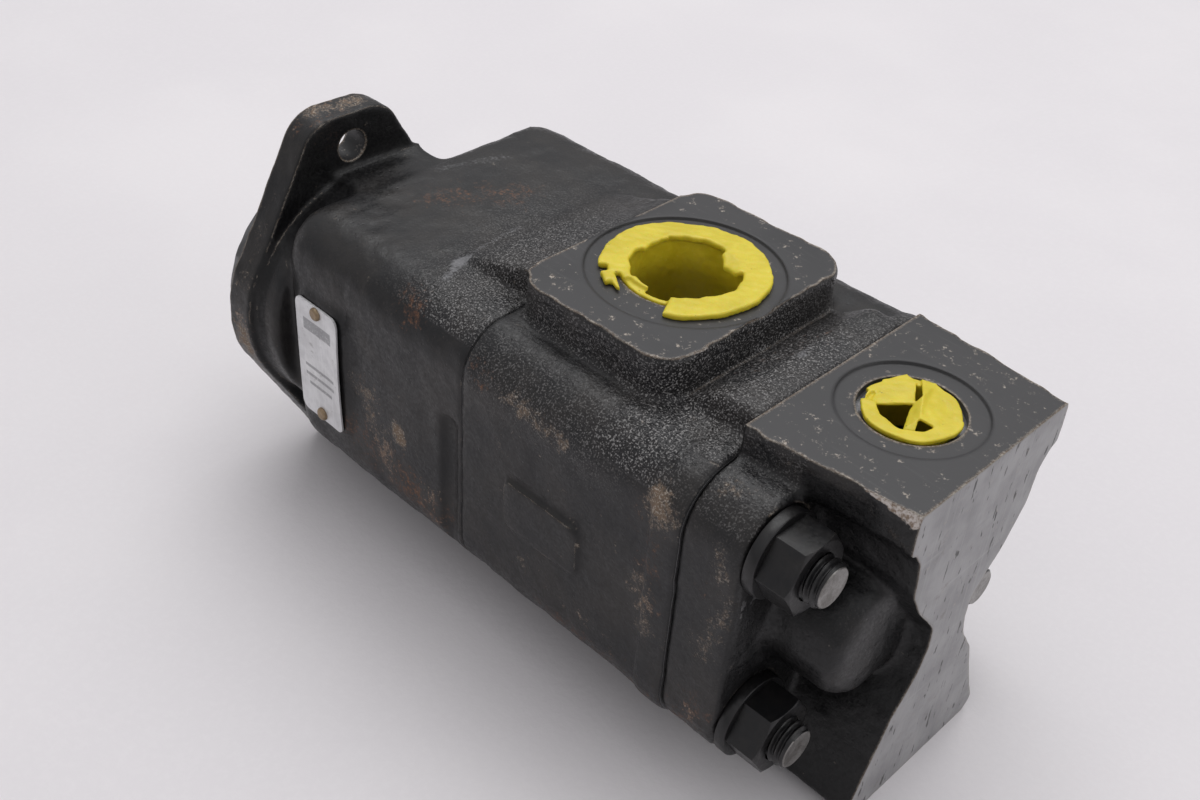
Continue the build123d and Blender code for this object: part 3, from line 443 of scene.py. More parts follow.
def cast_paint():
    """Worn satin black paint over a sand casting, with rust, dirt and scuffs where the mesh says; painted shade
    where the mesh marks it, and painted glints on the coarse grain.
    """
    s = Shader("cast_paint")
    grain, rust, dirt, scuff, soot = (s.attribute(n) for n in ("grain", "rust", "dirt", "scuff", "soot"))
    chipped = s.attribute("chipped")
    broad, fine, speck = s.noise(16, 4), s.noise(1.1, 3, 0.65), s.noise(0.55, 2)
    patch = s.noise(4.5, 5, 0.7)
    base = s.mix(s.step(broad, 0.35, 0.7), (0.010, 0.010, 0.011), (0.021, 0.019, 0.018))
    dust = s.times(s.step(fine, 0.52, 0.78), s.step(patch, 0.35, 0.62))
    base = s.mix(s.times(dust, 0.30), base, (0.085, 0.072, 0.062))
    # Painted glints: pale specks on the coarse grain stand in for the sand's specular highlights.
    painted_glints = s.times(s.step(speck, 0.52, 0.66), grain)
    base = s.mix(s.times(painted_glints, 0.75), base, (0.34, 0.33, 0.325))
    scuffed = s.step(s.plus(s.times(scuff, 1.3), s.minus(fine, 0.5)), 0.35, 0.8)
    base = s.mix(s.times(scuffed, 0.75), base, GREY)
    broken = s.plus(s.wobble(patch, 1.3), s.wobble(fine, 1.1))
    stain = s.step(s.plus(rust, broken), 0.40, 0.95)
    base = s.mix(s.times(stain, 0.7), base, s.mix(s.step(fine, 0.45, 0.7), RUST, (0.26, 0.12, 0.06)))
    crust = s.step(s.plus(dirt, broken), 0.48, 1.0)
    base = s.mix(s.times(crust, 0.72), base, s.mix(s.step(speck, 0.50, 0.68), TAN, WHITE_RUST))
    # Painted shade: near black where the mesh marks shade, on the flange's back face and in the rear cover's
    # recesses.
    base = s.mix(s.times(soot, 0.85), base, JOINT_AND_SHADE_BLACK)
    soft, edge = s.edges(1.3)
    worn = s.step(s.plus(edge, s.wobble(patch, 0.45)), 0.07, 0.15)
    base = s.mix(s.times(worn, 0.8), base, s.mix(s.step(fine, 0.4, 0.6), TAN, WHITE_RUST))
    lost = s.step(s.plus(chipped, s.wobble(patch, 1.6)), 0.55, 0.75)
    base = s.mix(s.times(lost, 0.95), base, s.mix(s.step(fine, 0.35, 0.6), TAN, (0.62, 0.57, 0.53)))
    ragged = s.wobble(fine, 0.9 * MM)
    for station in (JOINT_1_X, JOINT_2_X):
        distance = s.plus(s.apart(s.axis(0), station * MM), ragged)
        base = s.mix(s.step(distance, 0.62 * MM, 0.38 * MM), base, JOINT_AND_SHADE_BLACK)
    rough = s.step(fine, 0.3, 0.7, 0.30, 0.55)
    rough = s.math("MAXIMUM", rough, s.times(s.math("MAXIMUM", stain, crust), 0.9))
    pits = s.step(s.cells(2.4), 0.05, 0.22)
    sand = s.times(s.noise(1.5, 2, 0.6), s.plus(s.times(grain, 1.9), 0.28))
    lift = s.plus(s.plus(sand, s.times(pits, 0.14)), s.times(crust, 0.35))
    s.set(Base_Color=base, Roughness=rough, Specular_IOR_Level=0.40)
    s.set(Normal=s.bump(lift, 0.36, 1.0, soft))
    return s.material


def machined_paint():
    """The milled port faces, thinly painted, with chipped pale edges and small specks."""
    s = Shader("machined_paint")
    broad, fine, chip = s.noise(22, 3), s.noise(0.8, 2), s.noise(3.2, 5, 0.75)
    lines = s.noise(1.4, 2, 0.5, s.stretched((0.08, 1.0, 1.0), (0.0, 0.0, 0.5)))
    base = s.mix(s.step(broad, 0.3, 0.7), (0.026, 0.026, 0.028), (0.038, 0.037, 0.039))
    base = s.mix(s.times(s.step(lines, 0.6, 0.75), 0.10), base, (0.12, 0.12, 0.12))
    specks = s.times(s.step(s.cells(7.5), 0.075, 0.03), s.step(chip, 0.56, 0.64))
    base = s.mix(s.times(specks, 0.8), base, WHITE_RUST)
    soft, edge = s.edges(1.7)
    bare = s.step(s.plus(edge, s.wobble(chip, 0.45)), 0.04, 0.09)
    for port_x, spot_r in ((INLET_X, INLET_SPOT_R), (OUTLET_X, OUTLET_SPOT_R)):
        along, aside = s.minus(s.axis(0), port_x * MM), s.minus(s.axis(1), MID_Y * MM)
        radius = s.math("SQRT", s.plus(s.times(along, along), s.times(aside, aside)))
        rim = s.step(s.apart(radius, spot_r * MM), 1.9 * MM, 2.1 * MM)
        bare = s.times(bare, rim)
    base = s.mix(s.times(bare, 0.9), base, s.mix(s.step(fine, 0.4, 0.6), TAN, WHITE_RUST))
    rough = s.step(broad, 0.3, 0.7, 0.40, 0.50)
    lift = s.plus(s.times(lines, 0.5), s.times(fine, 0.4))
    s.set(Base_Color=base, Roughness=rough, Normal=s.bump(lift, 0.012, 0.5, soft))
    return s.material


def ground_face():
    """The bare ground rear face: mid grey, diagonal scratches, dark pits and brown stains."""
    s = Shader("ground_face")
    lay = s.noise(0.9, 3, 0.6, s.stretched((1.0, 1.0, 0.035), (0.62, 0.0, 0.0)))
    cross = s.noise(2.6, 3, 0.6, s.stretched((1.0, 0.04, 1.0), (-0.5, 0.0, 0.0)))
    broad, chip = s.noise(13, 4, 0.6), s.noise(2.6, 5, 0.75)
    base = s.mix(s.step(broad, 0.3, 0.7), (0.235, 0.232, 0.238), (0.330, 0.326, 0.332))
    base = s.mix(s.times(s.step(lay, 0.50, 0.68), 0.4), base, (0.42, 0.42, 0.425))
    base = s.mix(s.times(s.step(cross, 0.60, 0.72), 0.35), base, (0.46, 0.46, 0.46))
    slots = s.noise(2.2, 3, 0.6, s.stretched((1.0, 1.0, 0.22), (0.62, 0.0, 0.0)))
    pits = s.step(slots, 0.625, 0.665)
    base = s.mix(s.times(pits, 0.9), base, (0.02, 0.018, 0.016))
    stain = s.times(s.step(s.noise(7, 4, 0.7), 0.60, 0.72), 0.5)
    base = s.mix(stain, base, (0.16, 0.135, 0.115))
    soft, edge = s.edges(1.5)
    bare = s.step(s.plus(edge, s.wobble(chip, 0.45)), 0.04, 0.09)
    base = s.mix(s.times(bare, 0.75), base, (0.36, 0.33, 0.30))
    lift = s.minus(s.times(lay, 0.3), pits)
    s.set(Base_Color=base, Metallic=0.3, Roughness=s.step(lay, 0.3, 0.7, 0.40, 0.52))
    s.set(Normal=s.bump(lift, 0.03, 0.6, soft))
    return s.material


def metal(name, colour, dark, metallic, rough, grain_mm, stretch, wear, wear_share=0.4, depth=0.03):
    """A metal with fine tool marks, blotches and lighter worn edges."""
    s = Shader(name)
    marks = s.noise(grain_mm, 3, 0.6, s.stretched(stretch))
    blotch, fine = s.noise(6, 4, 0.65), s.noise(0.5, 2)
    base = s.mix(s.step(blotch, 0.35, 0.68), colour, dark)
    base = s.mix(s.times(s.step(marks, 0.5, 0.75), 0.35), base, dark)
    soft, edge = s.edges(0.35)
    worn = s.step(s.plus(edge, s.wobble(blotch, 0.6)), 0.10, 0.22)
    base = s.mix(s.times(worn, wear_share), base, wear)
    lift = s.plus(marks, s.times(fine, 0.4))
    s.set(Base_Color=base, Metallic=metallic, Roughness=s.step(marks, 0.3, 0.75, rough - 0.07, rough + 0.1))
    s.set(Normal=s.bump(lift, depth, 0.8, soft))
    return s.material


def plastic():
    """Soft yellow polyethylene: slightly waxy, smudged with black, nicked, and darkened by painted shade deeper
    down in the port.
    """
    s = Shader("yellow_plastic")
    broad, smudge, fine = s.noise(9, 3), s.noise(3.0, 5, 0.75), s.noise(0.9, 3)
    base = s.mix(s.step(broad, 0.3, 0.7), (0.64, 0.52, 0.018), (0.74, 0.61, 0.035))
    base = s.mix(s.times(s.step(fine, 0.55, 0.8), 0.3), base, (0.80, 0.72, 0.20))
    nicks = s.times(s.step(smudge, 0.64, 0.70), s.step(s.noise(1.4, 4, 0.7), 0.50, 0.58))
    base = s.mix(s.times(nicks, 0.9), base, (0.045, 0.035, 0.01))
    # Painted shade: the yellow darkens deeper down the port, where the bore shades the plug.
    painted_depth_shade = s.step(s.axis(2), 0.0535, 0.0440)
    base = s.mix(s.times(painted_depth_shade, 0.8), base, (0.30, 0.235, 0.008))
    s.set(Base_Color=base, Roughness=s.step(fine, 0.3, 0.7, 0.34, 0.5))
    s.set(Normal=s.bump(s.plus(fine, smudge), 0.12, 0.6))
    s.set(Subsurface_Weight=0.12, Subsurface_Scale=0.0015)
    return s.material


def rubber():
    s = Shader("seal_rubber")
    fine = s.noise(0.6, 3)
    base = s.mix(s.step(fine, 0.4, 0.7), (0.012, 0.012, 0.012), (0.03, 0.03, 0.03))
    s.set(Base_Color=base, Roughness=s.step(fine, 0.3, 0.7, 0.6, 0.8), Normal=s.bump(fine, 0.04, 0.7))
    return s.material


def plate_metal():
    """The nameplate: dull light alloy, hairline scratches, faint blank panels of darker print."""
    s = Shader("plate_alloy")
    hair = s.noise(0.7, 3, 0.6, s.stretched((1.0, 1.0, 0.05)))
    blotch, fine = s.noise(7, 4, 0.65), s.noise(0.8, 2)
    base = s.mix(s.step(blotch, 0.3, 0.7), (0.60, 0.60, 0.61), (0.76, 0.76, 0.77))
    base = s.mix(s.times(s.step(hair, 0.5, 0.7), 0.4), base, (0.86, 0.86, 0.87))
    x, z = s.axis(0), s.axis(2)

    def band(value, middle, half, soft_edge=0.25):
        return s.step(s.apart(value, middle * MM), (half + soft_edge) * MM, (half - soft_edge) * MM)

    panels = None
    prints = ((12.5, 7.2, 2.2), (-4.0, 7.6, 0.6), (-7.5, 7.6, 0.6), (-11.0, 6.0, 0.6))
    for middle_z, half_x, half_z in prints:
        panel = s.times(band(x, PLATE_X, half_x), band(z, middle_z, half_z))
        panels = panel if panels is None else s.math("MAXIMUM", panels, panel)
    base = s.mix(s.times(panels, s.step(fine, 0.30, 0.45, 0.25, 0.6)), base, (0.09, 0.09, 0.10))
    grime = s.step(s.noise(4, 5, 0.7), 0.60, 0.72)
    base = s.mix(s.times(grime, 0.5), base, (0.10, 0.085, 0.07))
    soft = s.edges(0.3)[0]
    s.set(Base_Color=base, Metallic=0.35, Roughness=s.step(hair, 0.3, 0.7, 0.34, 0.5))
    s.set(Normal=s.bump(hair, 0.02, 0.7, soft))
    return s.material


CAST, MILLED, GROUND = cast_paint(), machined_paint(), ground_face()
EVEN, TURNED, GROUND_BAR = (1.0, 1.0, 1.0), (0.08, 1.0, 1.0), (0.05, 1.0, 1.0)
# Each metal: colour, dark colour, metallic, roughness, mark size, stretch, worn colour, then extras.
METALS = {
    "bored_iron": ((0.20, 0.20, 0.205), (0.12,) * 3, 0.8, 0.36, 0.7, (0.06, 1.0, 1.0), (0.35,) * 3),
    "black_oxide": ((0.007, 0.007, 0.008), (0.013, 0.012, 0.012), 0.1, 0.38, 1.2, EVEN, (0.11, 0.105, 0.1), 0.5),
    "stud_end": ((0.30, 0.29, 0.28), (0.15, 0.14, 0.13), 0.75, 0.36, 0.8, EVEN, (0.5,) * 3, 0.5, 0.06),
    "bright_steel": ((0.52, 0.52, 0.54), (0.38, 0.38, 0.40), 1.0, 0.24, 0.5, GROUND_BAR, (0.75, 0.75, 0.76)),
    "spring_steel": ((0.20, 0.20, 0.21), (0.12, 0.12, 0.13), 0.9, 0.34, 0.6, EVEN, (0.45,) * 3),
    "block_alloy": ((0.62, 0.62, 0.64), (0.50, 0.50, 0.52), 1.0, 0.33, 0.7, TURNED, (0.8,) * 3),
    "bush_bronze": ((0.50, 0.34, 0.18), (0.36, 0.24, 0.13), 1.0, 0.32, 0.6, TURNED, (0.66, 0.48, 0.28)),
    "rivet_brass": ((0.36, 0.27, 0.17), (0.20, 0.15, 0.10), 0.85, 0.38, 0.8, EVEN, (0.58, 0.46, 0.30), 0.6),
}
BORED, BLACK, BARE, STEEL, SPRING, ALLOY, BRONZE, BRASS = (
    metal(name, *looks) for name, looks in METALS.items()
)
YELLOW, RUBBER, PLATE = plastic(), rubber(), plate_metal()


# ---- castings ----
def passage(from_x, to_x, low, high):
    half = PASSAGE_WIDTH / 2
    outline = rounded(half, (high - low) / 2, PASSAGE_WIDTH / 4, MID_Y, (low + high) / 2)
    return prism(outline, "x", from_x, to_x)


def round_cuts(places, radius, from_x, to_x, count=64):
    return joined(*[prism(circle(radius, y, z, count), "x", from_x, to_x) for y, z in places])


def port_cut(port_x, radius, low, high, count):
    return prism(circle(radius, port_x, MID_Y, count), "z", low, high)


def rivet_pieces(radius, low, high, count):
    return [prism(circle(radius, x, z, count), "y", low, high) for x, z in RIVETS]


def chamber_cuts(end_x):
    """The two gear chambers that open at a casting's rear end."""
    front_x = end_x - CHAMBER_DEPTH
    return [prism(circle(CHAMBER_R, y, 0.0, 160), "x", front_x, end_x + FAR) for y in (0.0, DRIVEN_Y)]


def seal_groove(node, joint_x):
    """The groove for a section seal, open at the joint."""
    verts, faces = cad_piece(node)
    return [(x + 1.0 if x > joint_x - 0.6 else x, y, z) for x, y, z in verts], faces


def core(from_x, to_x, inset=3.5):
    """Filling for everything hollow inside a casing between two stations."""
    outline = rounded(CASE_HALF_Y - inset, CASE_HALF_Z - inset, CASE_CORNER - inset, MID_Y, 0.0)
    return prism(outline, "x", from_x, to_x)


def texture(co, n, grain):
    """Sand-cast unevenness along the normals: broad swells, small dents, grain where it is coarse."""
    swell = 0.11 * field(co, 26, 3) + 0.07 * field(co, 11, 4)
    dents = 0.045 * field(co, 5.0, 5) + (0.012 + 0.05 * grain) * field(co, 2.6, 6)
    return co + n * (swell + dents)[:, None]


def joint_edge(co, n, *stations):
    """Softened edges where one casting meets the next, drawn in along the normals."""
    for x in stations:
        co -= n * (0.55 * np.exp(-(((co[:, 0] - x) / 0.75) ** 2)) * (np.abs(n[:, 0]) < 0.6))[:, None]
    return co


def draw_edge(co, n, top):
    """The upper edge of a milled face, broken by an uneven bevel on its cast sides."""
    uneven = 0.55 + 0.3 * field(co, 7.0, 31)
    band = np.exp(-(((co[:, 2] - top) / 0.9) ** 2)) * (np.abs(n[:, 2]) < 0.6)
    return co - n * (np.clip(uneven, 0.1, 1.0) * band)[:, None]


def on_plane(k, value, sign):
    return lambda c, n: (np.abs(c[:, k] - value) < 0.03) & (n[:, k] * sign > 0.9)


def in_port(port_x, radius, above):
    """Faces inside a port's circle and above a height."""
    return lambda c, n: (c[:, 2] > above) & (np.hypot(c[:, 0] - port_x, c[:, 1] - MID_Y) < radius + 0.05)


def top_band(z, top):
    """1 along the rim of a milled face and on it, and 0 far below."""
    return np.exp(-((np.maximum(top - z - 0.4, 0) / 0.7) ** 2)) * (z > top - 3)


def inside_case(c, n):
    """Faces of bores and chambers: more than a wall's thickness inside the rounded section."""
    y = np.abs(c[:, 1] - MID_Y) - (CASE_HALF_Y - CASE_CORNER)
    z = np.abs(c[:, 2]) - (CASE_HALF_Z - CASE_CORNER)
    distance = np.hypot(np.maximum(y, 0), np.maximum(z, 0)) + np.minimum(np.maximum(y, z), 0) - CASE_CORNER
    return distance < -3.2


# Lines on the castings' skins, then stains: each stain is a strength, a radius and the points it follows.
RIDGE = [(88, -30, 49), (86, -27, 49), (79, -12, 48.5), (77, 0, 48), (75, 16, 47.5)]
CREASE = [(53, -37, 50), (53, -38, 16)]
VALLEY = [(102.5, -36, 8), (102.5, -36, -40)]
FRONT_RUST = [
    (0.75, 7, [(79, -33, 45), (83, -36, 40)]), (0.55, 4, [(104, -30, 52)]),
    (0.5, 12, [(45, 8, 46), (60, 30, 46)]), (0.55, 13, [(60, -38, -20), (94, -38, -30)]),
    (0.5, 12, [(0, 0, 64), (6, -8, 60)]), (0.45, 12, [(6, -45, 0), (6, -40, -25)]),
    (0.4, 16, [(8, 0, -64)]),
]
FRONT_DIRT = [
    (0.95, 4.2, [(79, -37, -7), (80, -37, -9)]), (0.62, 10, [(62, -37, 0), (72, -37, -24)]),
    (0.5, 8, [(94, -37, -22), (94, -37, -34)]), (0.65, 3.6, [(78, -33, 46), (82, -34, 45)]),
    (0.42, 7, [(2, -30, 40), (6, -42, 16), (6, -44, -10)]), (0.75, 6, [(3, -9, 64), (5, 8, 65)]),
    (0.5, 6, [(6, -46, -4), (6, -42, -20)]),
]
FRONT_SCUFF = [(1.3, 2.8, RIDGE[:3]), (0.55, 2.4, RIDGE[2:]), (0.35, 4, [(30, 20, 45), (38, 44, 45)])]


def front_casting():
    fillers = [
        core(30.0, JOINT_1_X + PUSH),
        lathe([
            (PILOT_X - PUSH, 0), (PILOT_X - PUSH, GROOVE_R + 0.6), (POCKET_DEPTH, GROOVE_R + 0.6),
            (32.0, SHAFT_BORE_R + 1), (32.0, 0),
        ]),
        round_cuts(BOLT_HOLES, BOLT_HOLE_R + 0.5, -PUSH, 11.0, 96),
        joined(*rivet_pieces(2.0, PLATE_Y + 0.1, -32.0, 96)),
    ]
    planes = [(0, JOINT_1_X, PUSH), (0, 0.0, -PUSH), (0, PILOT_X, -PUSH)]
    data = rough_casting("front_housing", planes, fillers)
    co = coords(data)
    x, y, z = co.T
    passes = np.full(len(co), 7)
    passes[x < 12] = 4
    passes[(z > 44) & (x > 68) & (x < 100)] = 22
    passes[(x > 12) & (x < 34)] = 16
    passes[(x > 14) & (x < 60) & (y > 56) & (z > 24)] = 30
    co = relax(co, data, passes)
    set_coords(data, co)
    n = normals(data)
    sandy = near(co, [(96, -34, 50), (96, 10, 54)], 20) * (co[:, 2] > 40)
    sandy = np.maximum(sandy, 0.35 * near(co, [(90, 30, 50)], 30))
    co = texture(co, n, np.clip(sandy, 0, 1))
    line = near(co, RIDGE, 2.2)
    crack = near(co, [(p[0] - 2.4, p[1] + 1.0, p[2] - 0.5) for p in RIDGE], 0.9)
    crease, valley = near(co, CREASE, 1.6), near(co, VALLEY, 2.6)
    co += n * (0.75 * line - 0.9 * crack - 0.5 * crease - 0.7 * valley)[:, None]
    co = joint_edge(co, n, JOINT_1_X)
    set_coords(data, co)

    outside_r = 120.0
    ring = [(-FAR * 2, PILOT_R), (0.0, PILOT_R), (0.0, outside_r), (-FAR * 2, outside_r)]
    outside_r += 10.0
    rim = [(PILOT_X - 1e-3, outside_r), (PILOT_X, PILOT_R - PILOT_CHAMFER)]
    nose = [(-FAR * 3, 0), (-FAR * 3, outside_r), *rim, (PILOT_X, 0)]
    groove_end, pocket_end = GROOVE_X + GROOVE_WIDTH, PILOT_X + POCKET_DEPTH
    bore_end = JOINT_1_X - CHAMBER_DEPTH + 2
    bore = [
        (-FAR, 0), (-FAR, POCKET_R), (GROOVE_X, POCKET_R), (GROOVE_X, GROOVE_R), (groove_end, GROOVE_R),
        (groove_end, POCKET_R), (pocket_end, POCKET_R), (pocket_end, SHAFT_BORE_R),
        (bore_end, SHAFT_BORE_R), (bore_end, 0),
    ]
    passage_x = JOINT_1_X - CHAMBER_DEPTH + 20
    seat_low = (PLATE_X - 12.0, PLATE_Y - 8, PLATE_Z - 23.0)
    seat_high = (PLATE_X + 12.0, PLATE_Y, PLATE_Z + 23.0)
    cuts = [
        across(JOINT_1_X, JOINT_1_X + FAR),
        lathe(ring),
        lathe(nose),
        lathe(bore),
        *chamber_cuts(JOINT_1_X),
        passage(passage_x, JOINT_1_X + 1, PASSAGE_LOW, PASSAGE_HIGH),
        passage(passage_x, JOINT_1_X + 1, -PASSAGE_HIGH, -PASSAGE_LOW),
        round_cuts(STUDS, STUD_HOLE_R, STUD_BLIND_X, JOINT_1_X + 1),
        round_cuts(DOWELS, DOWEL_HOLE_R, JOINT_1_X - DOWEL_DEPTH, JOINT_1_X + 1, 32),
        round_cuts(BOLT_HOLES, BOLT_HOLE_R, -1.0, 14.0),
        joined(*rivet_pieces(RIVET_HOLE_R, PLATE_Y - 3, PLATE_Y + 4.5, 24)),
        seal_groove("front_section_seal", JOINT_1_X),
        block(seat_low, seat_high),
    ]
    data = subtract(data, cuts)
    co = coords(data)
    x, y, z = co.T
    # Painted shade: the flange's back face and the recess behind it go near black, fading back along the body
    # above and below the middle.
    fading = (x >= 15) * np.exp(-(((x - 15) / 7) ** 2)) * (np.abs(z) > 26)
    paint(
        data,
        grain=spots(co, [(1.0, 19, [(98, -34, 50), (94, 10, 54)]), (0.4, 30, [(90, 30, 50)])]) * (z > 40),
        rust=spots(co, FRONT_RUST),
        dirt=spots(co, FRONT_DIRT),
        soot=((x > 10) & (x < 15)) + fading,
        scuff=spots(co, FRONT_SCUFF),
    )

    def turned(before_x, radius):
        return lambda c, n: (c[:, 0] < before_x) & (np.hypot(c[:, 1], c[:, 2]) < radius + 0.1)

    def in_bolt_hole(c, n):
        radius = np.hypot(c[:, 1], np.abs(c[:, 2]) - BOLT_Z)
        return (c[:, 0] < 11.2) & (radius < BOLT_HOLE_R + 0.05)

    machined_index(data, [
        (2, on_plane(0, 0.0, -1)), (2, on_plane(0, PILOT_X, -1)), (2, on_plane(0, JOINT_1_X, 1)),
        (2, turned(0.02, PILOT_R)), (2, turned(44, GROOVE_R)),
        (2, lambda c, n: (c[:, 0] > 43) & inside_case(c, n)),
        (1, in_bolt_hole),
    ])
    materials = [CAST, MILLED, BORED]
    name = "front_housing_casting"
    return finish_mesh(name, data, "casing", ["front_housing"], materials)


# The near side's end band, and the shallow frame round its pad.
END_BAND_X = 183.0
END_BAND = [(END_BAND_X, -38, -40), (END_BAND_X, -38, 30), (END_BAND_X, -30, 44)]
PAD_FRAME = [
    (127.5, -38, -10), (127.5, -38, 6), (131, -38, 8.5), (157, -38, 8.5), (160.5, -38, 5),
    (160.5, -38, -9), (157, -38, -12.5), (131, -38, -12.5), (127.5, -38, -10),
]
CENTRE_RUST = [
    (0.5, 6, [(112, -36, 38), (118, -37, 34)]), (0.45, 9, [(183, -38, 34), (186, -38, 0)]),
    (0.45, 12, [(150, -38, -36), (190, -38, -38)]), (0.35, 9, [(174, 10, 52), (180, 34, 54)]),
]
CENTRE_DIRT = [
    (0.62, 4, [(129, -37, 35), (150, -37, 33)]), (0.42, 8, [(135, -37, -21), (172, -37, -30)]),
    (0.5, 5, [(183, -38, 38), (184, -38, 28)]), (0.45, 6, [(184, -38, 4), (186, -38, -12)]),
    (0.62, 6, [(186, -38, 36), (191, -37, 33)]), (0.8, 1.8, [(160, -38.5, 2)]),
    (0.7, 1.6, [(126, -38, 0)]),
]
CENTRE_SCUFF = [
    (0.5, 2.5, [(184, 19, 54), (178, 54, 46)]), (0.4, 1.2, [(183.8, -38, 30), (183.8, -38, -30)]),
]


def centre_casting():
    fillers = [
        core(JOINT_1_X - PUSH, JOINT_2_X + PUSH),
        port_cut(INLET_X, INLET_SPOT_R + 0.6, 20.0, INLET_Z + PUSH, 96),
    ]
    planes = [(0, JOINT_1_X, -PUSH), (0, JOINT_2_X, PUSH), (2, INLET_Z, PUSH)]
    data = rough_casting("centre_housing", planes, fillers)
    co = coords(data)
    x, y, z = co.T
    passes = np.full(len(co), 7)
    passes[(z > 44) & (x > 170)] = 26
    passes[z > 56] = 3
    co = relax(co, data, passes)
    set_coords(data, co)
    n = normals(data)
    x, y, z = co.T
    sandy = near(co, [(176, -30, 46), (176, 24, 50)], 14) * (z > 38)
    sandy += 0.5 * (y < -34) * near(co, [(140, -37, 25)], 40)
    co = texture(co, n, np.clip(sandy, 0, 1))
    lip, outline = near(co, END_BAND, 0.8), near(co, PAD_FRAME, 1.0)
    co = draw_edge(co, n, INLET_Z)
    pad = (np.abs(x - 144) < 15) & (np.abs(z + 2) < 9) & (y < -36)
    co -= n * (0.7 * lip + 0.75 * outline - 0.35 * pad)[:, None]
    co = joint_edge(co, n, JOINT_1_X, JOINT_2_X)
    set_coords(data, co)
    cuts = [
        across(JOINT_1_X - FAR, JOINT_1_X),
        across(JOINT_2_X, JOINT_2_X + FAR),
        above(0, INLET_Z),
        port_cut(INLET_X, INLET_SPOT_R, INLET_Z - SPOT_DEPTH, INLET_Z + FAR, 160),
        port_cut(INLET_X, INLET_BORE_R, INLET_FLOOR_Z, INLET_Z + FAR, 128),
        *chamber_cuts(JOINT_2_X),
        prism(circle(COUPLING_BORE_R), "x", JOINT_1_X - FAR, JOINT_2_X - CHAMBER_DEPTH + 1),
        passage(JOINT_1_X - 1, JOINT_2_X - 20, PASSAGE_LOW, PASSAGE_HIGH),
        passage(JOINT_1_X - 1, JOINT_2_X + 1, -PASSAGE_HIGH, -PASSAGE_LOW),
        round_cuts(STUDS, STUD_HOLE_R, JOINT_1_X - 1, JOINT_2_X + 1),
        round_cuts(DOWELS, DOWEL_HOLE_R, JOINT_1_X - 1, JOINT_1_X + DOWEL_DEPTH, 32),
        round_cuts(DOWELS, DOWEL_HOLE_R, JOINT_2_X - DOWEL_DEPTH, JOINT_2_X + 1, 32),
        seal_groove("rear_section_seal", JOINT_2_X),
    ]
    data = subtract(data, cuts)
    co = coords(data)
    x, y, z = co.T
    grain = near(co, [(174, -34, 44), (176, 24, 50)], 13) * (z > 36)
    grain += 0.45 * near(co, [(120, -34, 42), (160, -36, 40)], 14) + 0.5 * (z > 46) * (z < 57.5)
    near_edge = near(co, [(109, -11, INLET_Z), (160, -12, INLET_Z), (168, -6, INLET_Z)], 7)
    streak = (y < -34) * near(co, [(120, -37, 20), (175, -37, 8)], 20)
    paint(
        data,
        grain=grain,
        chipped=top_band(z, INLET_Z) * (0.12 + 0.62 * near_edge),
        rust=spots(co, CENTRE_RUST),
        dirt=spots(co, CENTRE_DIRT) + 0.3 * streak,
        scuff=spots(co, CENTRE_SCUFF),
    )
    machined_index(data, [
        (1, on_plane(2, INLET_Z, 1)), (1, on_plane(2, INLET_Z - SPOT_DEPTH, 1)),
        (1, in_port(INLET_X, INLET_SPOT_R, INLET_Z - SPOT_DEPTH - 0.02)),
        (2, in_port(INLET_X, INLET_BORE_R, 20)), (2, on_plane(0, JOINT_1_X, -1)),
        (2, on_plane(0, JOINT_2_X, 1)), (2, inside_case),
    ])
    materials = [CAST, MILLED, BORED]
    name = "centre_housing_casting"
    return finish_mesh(name, data, "casing", ["centre_housing"], materials)


REAR_RUST = [
    (0.5, 9, [(206, -37, -26), (200, -37, -38)]), (0.4, 8, [(205, -37, 20)]),
    (0.35, 6, [(200, -30, 46)]),
]
REAR_DIRT = [
    (0.9, 5, [(199, -30, 46), (203, -27, 48)]), (0.62, 4, [(206, -37, 33), (208, -37, 26)]),
    (0.56, 7, [(212, -36, 16), (205, -37, -4)]), (0.5, 9, [(204, -37, -30)]),
    (0.55, 3, [(231, -12.5, 50), (243, -12, 44)]),
]


def gallery_piece(growth, low, high):
    """The upright passage under the outlet."""
    half_x, half_y = GALLERY_HALF_X + growth, GALLERY_HALF_Y + growth
    return prism(rounded(half_x, half_y, GALLERY_CORNER, OUTLET_X, MID_Y), "z", low, high)


